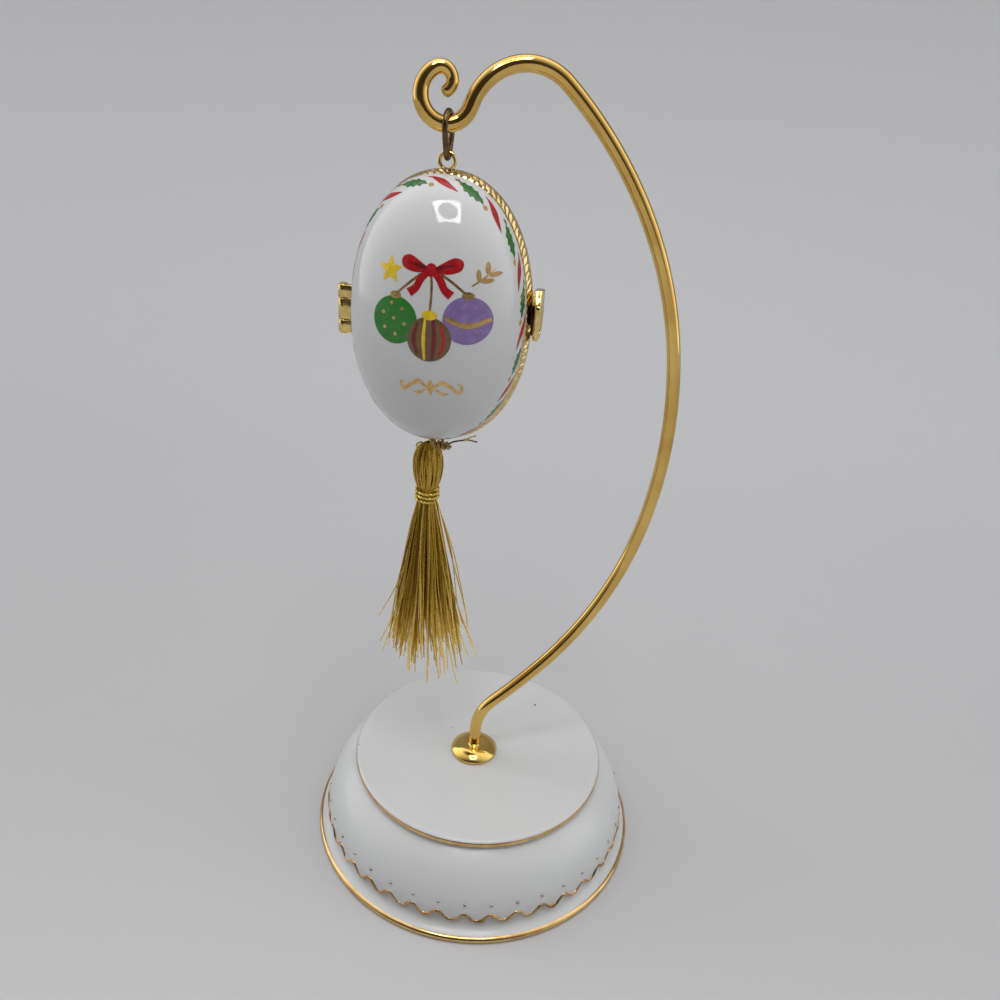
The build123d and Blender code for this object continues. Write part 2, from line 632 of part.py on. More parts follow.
def make_tassel_tie(loop):
    """The cord end that ties the loop: round the eyelet's front, a knot beside it and a forked tail."""
    start = LOOP_PLANE.from_local_coords(Vector(-LOOP_RADIUS, -LOOP_RADIUS, 0))
    round_front = start + Vector(EYELET_RADIUS, -TAIL_WIRE, 0)
    knot = Vector(HANG_X + KNOT_SHIFT, HANG_Y - KNOT_FORWARD, LOWER_EYELET_Z - KNOT_DROP)
    crook = knot + Vector(TAIL_RUN / 2, 0, TAIL_CROOK_RISE)
    fork = knot + Vector(TAIL_RUN, 0, TAIL_RISE)
    tie = tube(FilletPolyline(start, round_front, knot, radius=TIE_BEND), TAIL_WIRE)
    tie += tube(FilletPolyline(knot, crook, fork, radius=TIE_BEND), TAIL_WIRE)
    tie += Pos(fork) * Sphere(FORK_BEAD_RADIUS)
    for spread in (-FORK_SPREAD, FORK_SPREAD):
        lean = math.radians(FORK_LEAN + spread)
        tip = fork + Vector(math.cos(lean), 0, math.sin(lean)) * FORK_LENGTH
        tie += tube(Line(fork, tip), TAIL_WIRE)
        tie += Pos(tip) * Sphere(TAIL_WIRE / 2)
    for offset in (-KNOT_LUMP_SPREAD, 0, KNOT_LUMP_SPREAD):
        tie += Pos(knot + Vector(offset, 0, 0)) * Sphere(KNOT_LUMP_RADIUS)
    return tie - loop


PIECES = {
    "base_shell": make_base(),
    "post_collar": make_collar(),
    "hook_rod": make_hook(),
    "base_gasket": make_ring_plate(GASKET_DIAMETER, GASKET_THICKNESS, GASKET_Z),
    "clamp_washer": make_ring_plate(WASHER_DIAMETER, WASHER_THICKNESS, WASHER_Z),
    "clamp_nut": make_nut(),
    "hanger_ring": make_hanger_ring(),
    "egg_back_shell": make_shell(False),
    "egg_back_rim": make_rim(False),
    "top_eyelet": make_eyelet(EYELET_Z),
    "bottom_eyelet": make_eyelet(LOWER_EYELET_Z),
    "hinge_lower_knuckle": make_knuckle(KNUCKLE_LOW_Z, KNUCKLE_END_HEIGHT, False, PIN_DIAMETER),
    "hinge_upper_knuckle": make_knuckle(KNUCKLE_HIGH_Z, KNUCKLE_END_HEIGHT, False, PIN_DIAMETER),
    "hinge_pin": make_pin(),
    "clasp_tab": make_clasp_tab(),
    "egg_front_shell": make_shell(True),
    "egg_front_rim": make_rim(True),
    "hinge_front_knuckle": make_knuckle(
        HINGE_Z - KNUCKLE_MID_HEIGHT / 2, KNUCKLE_MID_HEIGHT, True, PIN_DIAMETER + 2 * PIN_RUNNING_CLEARANCE
    ),
    "clasp_catch": make_clasp_catch(),
}
TASSEL_LOOP = make_tassel_loop()
PIECES["tassel_loop"] = TASSEL_LOOP
PIECES["tassel_head"] = make_tassel_head(TASSEL_LOOP)
PIECES["tassel_skirt"] = make_tassel_skirt()
PIECES["tassel_binding"] = make_tassel_binding()
PIECES["tassel_tie"] = make_tassel_tie(TASSEL_LOOP)

os.makedirs("parts", exist_ok=True)
for name, piece in PIECES.items():
    export_step(piece, f"parts/{name}.step")

print("ring_swing", round(HANG_X, 3), round(HANG_Y, 3), round(HOOK_LOW_Z, 3))
print("egg_swing", round(HANG_X, 3), round(HANG_Y, 3), round(RING_FOOT_Z, 3))
print("door_swing", round(HINGE_X, 3), round(SEAM_Y, 3), round(HINGE_Z, 3))
print("tassel_swing", round(LOOP_X, 3), round(HANG_Y, 3), round(TASSEL_PIVOT_Z, 3))
print("egg height", round(EGG_BOTTOM_Z, 3), round(EGG_Z, 3), round(EGG_TOP_Z, 3))
print("tassel head height", round(HEAD_TOP_Z, 3), round(BINDING_TOP_Z, 3))
print("tassel skirt height", round(SKIRT_TOP_Z, 3), round(SKIRT_BOTTOM_Z, 3))
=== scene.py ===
import bisect
import json
import math
import random

import bmesh
import bpy
from mathutils import Matrix, Vector
from mathutils.geometry import delaunay_2d_cdt


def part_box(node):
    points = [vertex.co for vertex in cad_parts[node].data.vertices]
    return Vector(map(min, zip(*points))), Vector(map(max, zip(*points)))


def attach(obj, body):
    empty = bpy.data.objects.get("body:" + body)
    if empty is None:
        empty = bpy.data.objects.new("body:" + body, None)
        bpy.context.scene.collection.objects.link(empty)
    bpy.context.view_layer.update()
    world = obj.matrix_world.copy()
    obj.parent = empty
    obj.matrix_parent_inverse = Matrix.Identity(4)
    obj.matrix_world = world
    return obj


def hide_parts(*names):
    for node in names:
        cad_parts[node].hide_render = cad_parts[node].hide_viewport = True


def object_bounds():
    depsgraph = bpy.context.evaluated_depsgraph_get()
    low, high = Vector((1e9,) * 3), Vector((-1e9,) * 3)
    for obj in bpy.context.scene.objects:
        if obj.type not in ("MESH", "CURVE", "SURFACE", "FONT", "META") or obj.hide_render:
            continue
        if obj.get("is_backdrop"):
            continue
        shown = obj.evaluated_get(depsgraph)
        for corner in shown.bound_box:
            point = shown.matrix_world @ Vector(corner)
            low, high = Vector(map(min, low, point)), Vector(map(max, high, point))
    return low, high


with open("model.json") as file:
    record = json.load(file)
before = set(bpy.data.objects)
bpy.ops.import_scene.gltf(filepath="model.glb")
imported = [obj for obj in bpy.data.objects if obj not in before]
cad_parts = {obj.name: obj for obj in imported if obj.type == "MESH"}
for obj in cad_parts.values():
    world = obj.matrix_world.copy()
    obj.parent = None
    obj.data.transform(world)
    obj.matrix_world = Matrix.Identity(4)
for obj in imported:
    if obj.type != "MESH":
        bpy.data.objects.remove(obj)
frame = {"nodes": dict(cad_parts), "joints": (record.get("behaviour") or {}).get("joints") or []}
cad_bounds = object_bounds()

# Sizes are written in millimetres, and become metres when a mesh is made
MM = 0.001
chance = random.Random(21)


def box_mm(node):
    low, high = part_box(node)
    return low / MM, high / MM


def middle_mm(node):
    low, high = box_mm(node)
    return [(low[axis] + high[axis]) / 2 for axis in range(3)]


# Places read from the frame
JOINTS = {joint["name"]: Vector(joint["pos_m"]) / MM for joint in frame["joints"]}
HANG_X, HANG_Y, _ = JOINTS["ring_swing"]
RING_FOOT_Z = JOINTS["egg_swing"].z
HINGE = JOINTS["door_swing"]
SEAM_Y = HINGE.y
LOOP_X = JOINTS["tassel_swing"].x
RIM_LOW, RIM_HIGH = box_mm("egg_front_rim")
CLASP_LOW, CLASP_HIGH = box_mm("clasp_tab")
EGG_X = middle_mm("egg_front_rim")[0]
ROD_X, ROD_Y, _ = middle_mm("post_collar")
ROD_BOTTOM_Z = box_mm("hook_rod")[0].z
TASSEL_X = middle_mm("tassel_head")[0]
HEAD_TOP_Z = box_mm("tassel_head")[1].z
SKIRT_BOTTOM_Z, SKIRT_TOP_Z = (corner.z for corner in box_mm("tassel_skirt"))

# Sizes of the egg
RIM_TOP_HALF = 32.35
RIM_FOOT_HALF = 30.9
RIM_HALF_WIDTH = (RIM_HIGH.x - RIM_LOW.x) / 2
RIM_DEPTH = 2.55
RIM_PROUD = 1.35
SEAM_GAP = 0.2
# The outline's fullness: 2 is an ellipse and more is blunter
FULLNESS = 2.15
SHELL_DEPTH = 16.3
SHELL_WALL = 1.8
EGG_Z = RIM_HIGH.z - RIM_TOP_HALF
# The cups reach nearer to the rim's outline, most of all at the hinge
SHELL_SHIFT = -0.35
SHELL_GROWTH = 0.6
SHELL_HALF_WIDTH = RIM_HALF_WIDTH - RIM_PROUD + SHELL_GROWTH
SHELL_TOP_HALF = RIM_TOP_HALF - RIM_PROUD + SHELL_GROWTH / 2
SHELL_FOOT_HALF = RIM_FOOT_HALF - RIM_PROUD + SHELL_GROWTH
FRONT_MIDDLE = Vector((EGG_X + SHELL_SHIFT, SEAM_Y - RIM_DEPTH, EGG_Z))
BACK_MIDDLE = Vector((EGG_X + SHELL_SHIFT, SEAM_Y + RIM_DEPTH, EGG_Z))


class Shape:
    """The points and faces of one piece, gathered part by part, with a tone from 0 to 1 for each point."""

    def __init__(self):
        self.points = []
        self.faces = []
        self.tones = []

    def add(self, points, faces, tone=0.5):
        start = len(self.points)
        self.points += [Vector(point) for point in points]
        self.faces += [[start + index for index in face] for face in faces]
        self.tones += tone if isinstance(tone, list) else [tone] * len(points)

    def make(self, name, material, body, slot, nodes=(), sharp=40):
        piece = new_piece(name, self.points, self.faces, material)
        piece.data.set_sharp_from_angle(angle=math.radians(sharp))
        piece.data.attributes.new("tone", "FLOAT", "POINT").data.foreach_set("value", self.tones)
        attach(piece, body)
        if nodes:
            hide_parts(*nodes)
        return piece


def make_single(geometry, *details, tone=0.5, **settings):
    """A piece of one part: its points and faces, and then what Shape.make takes."""
    shape = Shape()
    shape.add(*geometry, tone=tone)
    return shape.make(*details, **settings)


def new_piece(name, points, faces, material):
    """A mesh object in the scene, from points in millimetres."""
    mesh = bpy.data.meshes.new(name)
    mesh.from_pydata([Vector(point) * MM for point in points], [], faces)
    mesh.polygons.foreach_set("use_smooth", [True] * len(mesh.polygons))
    mesh.materials.append(material)
    piece = bpy.data.objects.new(name, mesh)
    bpy.context.scene.collection.objects.link(piece)
    return piece


# Shapes


def full_turn(count):
    """Evenly spaced angles of a full turn."""
    return [2 * math.pi * step / count for step in range(count)]


def run_lengths(path):
    """The length along a path at each of its points."""
    lengths = [0.0]
    for before, after in zip(path, path[1:]):
        lengths.append(lengths[-1] + (after - before).length)
    return lengths


def grid_faces(rows, columns, loop_columns=False, loop_rows=False):
    """Quads between the points of a grid that is listed row by row."""
    faces = []
    for row in range(rows if loop_rows else rows - 1):
        low = row * columns
        high = (row + 1) % rows * columns
        for column in range(columns if loop_columns else columns - 1):
            beside = (column + 1) % columns
            faces.append((low + column, low + beside, high + beside, high + column))
    return faces


def path_frames(path, closed):
    """Each point of a path with two directions square to the path there."""
    count = len(path)
    normal = None
    for index, place in enumerate(path):
        if closed:
            way = path[(index + 1) % count] - path[index - 1]
        else:
            way = path[min(index + 1, count - 1)] - path[max(index - 1, 0)]
        way.normalize()
        normal = way.orthogonal() if normal is None else normal - way * normal.dot(way)
        normal.normalize()
        yield place, normal, way.cross(normal)


def tube(path, radius, sides=12, closed=False):
    """A round wire along a path. The radius is one number, or one for each point of the path."""
    path = [Vector(point) for point in path]
    count = len(path)
    radii = radius if isinstance(radius, list) else [radius] * count
    points = []
    for (place, normal, across), reach in zip(path_frames(path, closed), radii):
        for turn in full_turn(sides):
            points.append(place + (normal * math.cos(turn) + across * math.sin(turn)) * reach)
    faces = grid_faces(count, sides, loop_columns=True, loop_rows=closed)
    if not closed:
        faces.append(list(reversed(range(sides))))
        faces.append(list(range((count - 1) * sides, count * sides)))
    return points, faces


def twisted(path, cord, plies, lay, closed=False):
    """The plies of a twisted cord along a path. Lay is the length of one twist."""
    path = [Vector(point) for point in path]
    shape = Shape()
    for ply in range(plies):
        line = []
        for (place, normal, across), run in zip(path_frames(path, closed), run_lengths(path)):
            turn = 2 * math.pi * (run / lay + ply / plies)
            line.append(place + (normal * math.cos(turn) + across * math.sin(turn)) * cord / 4)
        shape.add(*tube(line, cord / 4 * 1.1, 8, closed))
    return shape.points, shape.faces


def turned(profile, middle, steps=128, closed=True):
    """A profile of (radius, height) points turned about an upright axis."""
    x, y = middle
    points = []
    for radius, height in profile:
        for turn in full_turn(steps):
            points.append((x + radius * math.cos(turn), y + radius * math.sin(turn), height))
    return points, grid_faces(len(profile), steps, loop_columns=True, loop_rows=closed)


def arc_through(start, middle, end, count):
    """Points on the arc through three points of a plane."""
    ax, ay = start
    bx, by = middle
    cx, cy = end
    scale = 2 * (ax * (by - cy) + bx * (cy - ay) + cx * (ay - by))
    a2, b2, c2 = ax * ax + ay * ay, bx * bx + by * by, cx * cx + cy * cy
    ox = (a2 * (by - cy) + b2 * (cy - ay) + c2 * (ay - by)) / scale
    oy = (a2 * (cx - bx) + b2 * (ax - cx) + c2 * (bx - ax)) / scale
    radius = math.hypot(ax - ox, ay - oy)
    first = math.atan2(ay - oy, ax - ox)
    past_middle = (math.atan2(by - oy, bx - ox) - first) % (2 * math.pi)
    sweep = (math.atan2(cy - oy, cx - ox) - first) % (2 * math.pi)
    if past_middle > sweep:
        sweep -= 2 * math.pi
    turns = [first + sweep * index / (count - 1) for index in range(count)]
    return [(ox + radius * math.cos(turn), oy + radius * math.sin(turn)) for turn in turns]


def offset_line(line, distance):
    """A plane line moved sideways, to the right of its direction."""
    moved = []
    for index, (x, y) in enumerate(line):
        x0, y0 = line[max(index - 1, 0)]
        x1, y1 = line[min(index + 1, len(line) - 1)]
        length = math.hypot(x1 - x0, y1 - y0)
        moved.append((x + (y1 - y0) / length * distance, y - (x1 - x0) / length * distance))
    return moved


def smooth_path(corners, steps):
    """A smooth line through the given points."""
    corners = [Vector(corner) for corner in corners]
    ends = [corners[0] * 2 - corners[1]] + corners + [corners[-1] * 2 - corners[-2]]
    path = []
    for a, b, c, d in zip(ends, ends[1:], ends[2:], ends[3:]):
        for step in range(steps):
            t = step / steps
            spot = b * 2 + (c - a) * t + (a * 2 - b * 5 + c * 4 - d) * t * t
            path.append((spot + (b * 3 - a - c * 3 + d) * t**3) / 2)
    path.append(corners[-1])
    return path


def rounded_block(low, high, bevel, lean=0.0):
    """A box with rounded edges. Its front face leans back by a distance at the top."""
    block = bmesh.new()
    bmesh.ops.create_cube(block, size=1)
    middle = (Vector(low) + Vector(high)) / 2
    bmesh.ops.scale(block, vec=Vector(high) - Vector(low), verts=block.verts)
    bmesh.ops.translate(block, vec=middle, verts=block.verts)
    for vert in block.verts:
        if vert.co.z > middle.z and vert.co.y < middle.y:
            vert.co.y += lean
    bmesh.ops.bevel(block, geom=block.edges[:], offset=bevel, segments=3, profile=0.5, affect="EDGES")
    block.verts.index_update()
    points = [vert.co.copy() for vert in block.verts]
    faces = [[vert.index for vert in face.verts] for face in block.faces]
    block.free()
    return points, faces


def bead(middle, radii, rows=10, columns=16):
    """A small ellipsoid."""
    points = []
    for row in range(rows + 1):
        tilt = math.pi * (row + 0.02) / (rows + 0.04) - math.pi / 2
        for turn in full_turn(columns):
            ball = (math.cos(tilt) * math.cos(turn), math.cos(tilt) * math.sin(turn), math.sin(tilt))
            points.append([middle[axis] + radii[axis] * ball[axis] for axis in range(3)])
    faces = grid_faces(rows + 1, columns, loop_columns=True)
    faces.append(list(reversed(range(columns))))
    faces.append(list(range(rows * columns, (rows + 1) * columns)))
    return points, faces


# Materials


def plug(owner, socket, value):
    """Feed a socket from an output, or set its value."""
    if isinstance(value, bpy.types.NodeSocket):
        owner.node_tree.links.new(value, socket)
    else:
        socket.default_value = value


def add_node(owner, kind, inputs, **settings):
    """A shader node with its settings and its inputs."""
    node = owner.node_tree.nodes.new("ShaderNode" + kind)
    for name, value in settings.items():
        setattr(node, name, value)
    for name, value in inputs.items():
        plug(owner, node.inputs[name], value)
    return node


def compute(owner, operation, *values):
    return add_node(owner, "Math", dict(enumerate(values)), operation=operation).outputs["Value"]


def noise(owner, place, scale, detail=3.0):
    """Noise over the object's own coordinates. The scale is in features per metre."""
    return add_node(owner, "TexNoise", {"Scale": scale, "Detail": detail, "Vector": place}).outputs["Fac"]


def ramp(owner, value, stops):
    """Colours at places from 0 to 1 along a value."""
    node = add_node(owner, "ValToRGB", {"Fac": value})
    elements = node.color_ramp.elements
    while len(elements) < len(stops):
        elements.new(0.5)
    for element, (position, colour) in zip(elements, stops):
        element.position = position
        element.color = (*colour, 1)
    return node.outputs["Color"]


def spread(owner, value, low, high, source_low=0.35, source_high=0.65):
    """A value mapped to a range."""
    limits = {"From Min": source_low, "From Max": source_high, "To Min": low, "To Max": high}
    return add_node(owner, "MapRange", {"Value": value, **limits}).outputs["Result"]


def mixed(owner, share, first, second):
    """A colour that gives way to a second one by a share."""
    inputs = {"Factor": share, "A": first, "B": (*second, 1)}
    return add_node(owner, "Mix", inputs, data_type="RGBA").outputs["Result"]


def bumped(owner, height, strength, distance):
    """A normal that follows a height."""
    inputs = {"Height": height, "Strength": strength, "Distance": distance}
    return add_node(owner, "Bump", inputs).outputs["Normal"]


def new_material(name):
    """A material and its object coordinates."""
    material = bpy.data.materials.new(name)
    material.use_nodes = True
    return material, add_node(material, "TexCoord", {}).outputs["Object"]


def dress(material, looks):
    """Give a material's shader its inputs."""
    for name, value in looks.items():
        plug(material, material.node_tree.nodes["Principled BSDF"].inputs[name], value)
    return material


def shaded(colour, share):
    return tuple(channel * share for channel in colour)


def make_porcelain(name, colour, speck_cells, speck_size, polish):
    """White glazed porcelain: a faint drift of tint, a few dark specks of iron and a slightly wavy glaze."""
    material, place = new_material(name)
    tint = ramp(material, noise(material, place, 45), [(0.3, shaded(colour, 0.965)), (0.7, colour)])
    cells = add_node(material, "TexVoronoi", {"Scale": speck_cells, "Vector": place}).outputs
    pick = add_node(material, "SeparateColor", {"Color": cells["Color"]}).outputs["Red"]
    dot = compute(material, "LESS_THAN", cells["Distance"], speck_size)
    speck = compute(material, "MULTIPLY", dot, compute(material, "GREATER_THAN", pick, 0.6))
    looks = {
        "Base Color": mixed(material, speck, tint, (0.16, 0.13, 0.11)),
        "Roughness": spread(material, noise(material, place, 160), *polish),
        "Normal": bumped(material, noise(material, place, 70, 1.5), 0.25, 0.00012),
    }
    return dress(material, looks)


def make_metal(name, colour, dull, roughness, grain, bump_depth):
    """Plated metal: colour that drifts towards a duller tone, uneven polish and a faint grain."""
    material, place = new_material(name)
    looks = {
        "Metallic": 1.0,
        "Base Color": ramp(material, noise(material, place, grain, 4), [(0.3, dull), (0.62, colour)]),
        "Roughness": spread(material, noise(material, place, grain * 2.5), *roughness),
        "Normal": bumped(material, noise(material, place, grain * 1.7, 2), 0.3, bump_depth),
    }
    return dress(material, looks)


def make_enamel(name, colour, roughness=0.22):
    """Printed overglaze colour with a slightly uneven film."""
    material, place = new_material(name)
    film = noise(material, place, 700, 4)
    looks = {
        "Base Color": ramp(material, film, [(0.3, shaded(colour, 0.82)), (0.7, shaded(colour, 1.1))]),
        "Roughness": spread(material, film, roughness - 0.06, roughness + 0.08),
    }
    return dress(material, looks)


def make_thread(name, colours, metallic, roughness, twist_scale):
    """Metallic thread: each strand has its own tone, broken by glints of its twist, which are painted into
    the colour as well as set in the roughness and the bump.
    """
    material, place = new_material(name)
    tone = add_node(material, "Attribute", {}, attribute_name="tone").outputs["Fac"]
    glint = noise(material, place, twist_scale, 2)
    # Painted glints: the noise lifts the colour towards the ramp's bright highlight stop
    shade = compute(material, "MULTIPLY_ADD", glint, 0.7, compute(material, "SUBTRACT", tone, 0.35))
    looks = {
        "Metallic": metallic,
        "Base Color": ramp(material, shade, list(zip((0.0, 0.5, 1.0), colours))),
        "Roughness": spread(material, glint, *roughness),
        "Normal": bumped(material, glint, 0.5, 0.00008),
    }
    return dress(material, looks)


BASE_PORCELAIN = make_porcelain("base_glaze", (0.645, 0.655, 0.655), 120, 0.05, (0.19, 0.26))
EGG_PORCELAIN = make_porcelain("egg_glaze", (0.65, 0.655, 0.66), 60, 0.008, (0.05, 0.12))
ROD_BRASS = make_metal("rod_gold", (0.84, 0.56, 0.17), (0.66, 0.40, 0.10), (0.05, 0.13), 90, 0.00003)
COLLAR_BRASS = make_metal("collar_gold", (0.86, 0.60, 0.18), (0.66, 0.42, 0.10), (0.05, 0.14), 160, 0.00003)
RIM_BRASS = make_metal("rim_gold", (0.90, 0.70, 0.34), (0.60, 0.42, 0.17), (0.12, 0.26), 700, 0.00005)
FITTING_BRASS = make_metal("fitting_gold", (0.9, 0.7, 0.28), (0.66, 0.45, 0.14), (0.08, 0.22), 420, 0.00004)
RING_BRONZE = make_metal("ring_bronze", (0.17, 0.11, 0.05), (0.07, 0.045, 0.02), (0.2, 0.36), 600, 0.00005)
# Painted shade: a near-black metal for the clasp's foot and catch, which fill the shaded gap between the rim
# and the clasp plate
GAP_SHADE_METAL = make_metal("painted_gap_shade", (0.09, 0.05, 0.02), (0.03, 0.018, 0.01), (0.3, 0.5), 600, 0.00005)
CLAMP_STEEL = make_metal("clamp_zinc", (0.62, 0.62, 0.60), (0.48, 0.48, 0.47), (0.25, 0.4), 700, 0.00004)
GILDING = make_metal("gilding", (0.80, 0.54, 0.24), (0.58, 0.36, 0.14), (0.1, 0.24), 220, 0.00004)
HEM_GILDING = make_metal("hem_gilding", (0.70, 0.45, 0.19), (0.22, 0.11, 0.04), (0.1, 0.24), 150, 0.00004)
DOT_LUSTRE = make_metal("dot_lustre", (0.62, 0.56, 0.48), (0.34, 0.28, 0.22), (0.12, 0.25), 500, 0.00002)
GASKET_RUBBER = make_enamel("gasket_rubber", (0.03, 0.03, 0.03), 0.7)
HOLLY_GREEN = make_enamel("holly_green", (0.035, 0.155, 0.03))
RIBBON_RED = make_enamel("ribbon_red", (0.40, 0.012, 0.016))
BERRY_BROWN = make_enamel("berry_brown", (0.22, 0.14, 0.10))
BERRY_GOLD = make_enamel("berry_gold", (0.42, 0.27, 0.09))
LAVENDER = make_enamel("lavender", (0.24, 0.16, 0.38))
YELLOW = make_enamel("yellow", (0.78, 0.55, 0.015))
OLIVE = make_enamel("olive_brown", (0.16, 0.095, 0.035))
WINE = make_enamel("wine_red", (0.16, 0.012, 0.014))
LEAF_GREEN = make_enamel("leaf_green", (0.025, 0.20, 0.02))
PRINT_GOLD = make_metal("print_gold", (0.72, 0.48, 0.20), (0.52, 0.33, 0.12), (0.25, 0.4), 900, 0.00002)
# Thread colours: a dark tone, the gold of the thread, and a bright painted highlight that the glints reach
TASSEL_TONES = [(0.17, 0.088, 0.004), (0.58, 0.355, 0.03), (0.97, 0.73, 0.20)]
BINDING_TONES = [(0.25, 0.16, 0.02), (0.70, 0.50, 0.07), (0.95, 0.78, 0.28)]
KNOT_TONES = [(0.02, 0.012, 0.005), (0.13, 0.075, 0.02), (0.85, 0.66, 0.24)]
TASSEL_THREAD = make_thread("tassel_thread", TASSEL_TONES, 0.5, (0.26, 0.42), 2600)
BINDING_THREAD = make_thread("binding_thread", BINDING_TONES, 0.8, (0.2, 0.4), 2200)
KNOT_THREAD = make_thread("knot_thread", KNOT_TONES, 0.7, (0.22, 0.4), 2200)


# Base

SCALLOPS = 40
HEM_LOW_Z = 5.1
HEM_HEIGHT = 2.4
HEM_SHARPNESS = 1.5
HEM_LINE_RADIUS = 46.9
BOWL_RADIUS = 47.0
BOWL_START_Z = 8.0
NECK = (36.8, 22.4)
FLARE_RADIUS = 45.7
FOOT_RADIUS = 50.0
FOOT_EDGE = (49.1, 1.8)
FOOT_FLAT = 47.2
DISC_RADIUS = 38.5
DISC_TOP_Z = 25.2
DISC_FLAT_Z = 23.6
DISC_FLAT_RADIUS = 9.0
DISC_LIP_RISE = 0.25
DISC_STEPS = 18
ROD_HOLE = 2.0
CAVITY_RADIUS = 45.4
CAVITY_TOP_Z = 19.6
CAVITY_SHOULDER = (33.2, 17.2)
DOT_Z = 10.7
DOT_RADII = (0.5, 0.5, 0.45)
GILT_RISE = 0.05
GILT_DEPTH = 0.25
FOOT_ARC = arc_through((FOOT_EDGE[0], 0.0), (FOOT_RADIUS, 0.9), FOOT_EDGE, 13)
FLARE_ARC = arc_through(FOOT_EDGE, (47.0, 2.9), (FLARE_RADIUS, HEM_LOW_Z), 9)
BOWL_ARC = arc_through((BOWL_RADIUS, BOWL_START_Z), (43.7, 16.44), NECK, 29)
DISC_LIP = DISC_RADIUS - 1.0
DISC_ARC = arc_through((DISC_LIP, 22.75), (DISC_RADIUS, DISC_TOP_Z - 1), (DISC_LIP, DISC_TOP_Z), 15)


def hem_height(turn):
    """Height of the bowl's hem at an angle: round lobes that meet in narrower peaks below the dots."""
    wave = (1 + math.cos(turn * SCALLOPS)) / 2
    return HEM_LOW_Z + HEM_HEIGHT * wave**HEM_SHARPNESS


def base_profile(turn):
    """The base's section at an angle, from the cavity's foot round the outside and back inside."""
    hem = hem_height(turn)
    profile = [(CAVITY_RADIUS, 0.0), (FOOT_FLAT, 0.0)] + FOOT_ARC + FLARE_ARC[1:]
    profile += [(FLARE_RADIUS, (HEM_LOW_Z + hem) / 2 + 0.02), (FLARE_RADIUS, hem + 0.04)]
    profile += [(FLARE_RADIUS + 0.7, hem + 0.05), (BOWL_RADIUS - 0.25, hem + 0.12), (BOWL_RADIUS, hem + 0.4)]
    top = BOWL_START_Z + 0.9
    profile += [(BOWL_RADIUS, hem + 0.4 + (top - hem - 0.4) * share) for share in (0.35, 0.7)]
    profile += [(radius, height) for radius, height in BOWL_ARC if height > top]
    profile += [(NECK[0] + 0.1, NECK[1] + 0.05), (37.2, 22.6)] + DISC_ARC
    for step in range(1, DISC_STEPS + 1):
        share = step / DISC_STEPS
        radius = DISC_LIP + (DISC_FLAT_RADIUS - DISC_LIP) * share
        dish = (DISC_TOP_Z - DISC_LIP_RISE - DISC_FLAT_Z) * (1 - share) ** 2
        profile.append((radius, DISC_FLAT_Z + dish + DISC_LIP_RISE * math.exp(-share * 40)))
    profile += [(radius, DISC_FLAT_Z) for radius in (6.0, ROD_HOLE)]
    profile += [(radius, CAVITY_TOP_Z) for radius in (ROD_HOLE, 12.0, 30.8)]
    return profile + arc_through(CAVITY_SHOULDER, (38.65, 13.6), (42.1, 8.0), 9)


def bowl_point(height):
    """The bowl's radius at a height and the slope of its face there."""
    for (r0, z0), (r1, z1) in zip(BOWL_ARC, BOWL_ARC[1:]):
        if z0 <= height <= z1:
            share = (height - z0) / (z1 - z0)
            return r0 + (r1 - r0) * share, Vector((z1 - z0, r0 - r1)).normalized()


def make_base():
    turns = full_turn(SCALLOPS * 20)
    sections = [base_profile(turn) for turn in turns]
    points = []
    for row in zip(*sections):
        for turn, (radius, height) in zip(turns, row):
            shift = max(0, 1 - (radius - ROD_HOLE) / (DISC_FLAT_RADIUS - ROD_HOLE))
            x = ROD_X * shift + radius * math.cos(turn)
            y = ROD_Y * shift + radius * math.sin(turn)
            points.append((x, y, height))
    faces = grid_faces(len(sections[0]), len(turns), loop_columns=True, loop_rows=True)
    make_single((points, faces), "base_bowl", BASE_PORCELAIN, "stand", "base_porcelain", ["base_shell"])


def make_dots():
    """The row of small raised lustre dots above the hem."""
    shape = Shape()
    radius, slope = bowl_point(DOT_Z)
    ball, faces = bead((0, 0, 0), DOT_RADII)
    for turn in full_turn(SCALLOPS):
        out = Vector((math.cos(turn) * slope.x, math.sin(turn) * slope.x, slope.y))
        side = Vector((-math.sin(turn), math.cos(turn), 0))
        up = out.cross(side)
        middle = Vector((radius * math.cos(turn), radius * math.sin(turn), DOT_Z))
        shape.add([middle + side * x + up * y + out * z for x, y, z in ball], faces)
    shape.make("base_dots", DOT_LUSTRE, "stand", "base_porcelain")


def make_gilding():
    """The gilt lines of the base: foot, disc edge and hem, whose gold is darker."""
    shape = Shape()
    for arc in (FOOT_ARC[2:], DISC_ARC[3:11]):
        edge = offset_line(arc, GILT_RISE)
        shape.add(*turned(edge + offset_line(edge, -GILT_DEPTH)[::-1], (0, 0), 256))
    shape.make("base_gilding", GILDING, "stand", "rod_brass")
    path = []
    radii = []
    for turn in full_turn(SCALLOPS * 24):
        x, y = HEM_LINE_RADIUS * math.cos(turn), HEM_LINE_RADIUS * math.sin(turn)
        path.append((x, y, hem_height(turn) + 0.22))
        wear = 0.45 + 0.12 * math.sin(turn * 29 + 1) * math.sin(turn * 13)
        radii.append(wear + 0.06 * math.sin(turn * 71))
    make_single(tube(path, radii, 10, closed=True), "base_hem_gilding", HEM_GILDING, "stand", "rod_brass")


make_base()
make_dots()
make_gilding()


# Hook

HOOK_YAW = math.radians(19.0)
ROD_RADIUS = 1.8
ROD_STRAIGHT_TOP_Z = 32.19
HOOK_RUN = 0.42
TIP_RADIUS = 1.35
TIP_STEPS = 6
TAPER_LENGTH = 16.0
# Each bend is a radius and a turn in degrees, left turns positive, as the rod is followed upwards
ARM_BENDS = [(14.2, -49.29), (163.7, 6.96), (103.76, 30.5)]
ARM_BENDS += [(120.97, 22.69), (101.78, 39.06), (13.36, 110.98)]
CURL_BENDS = [(5.63, -158.0), (5.79, -65.0), (2.5, -176.0)]
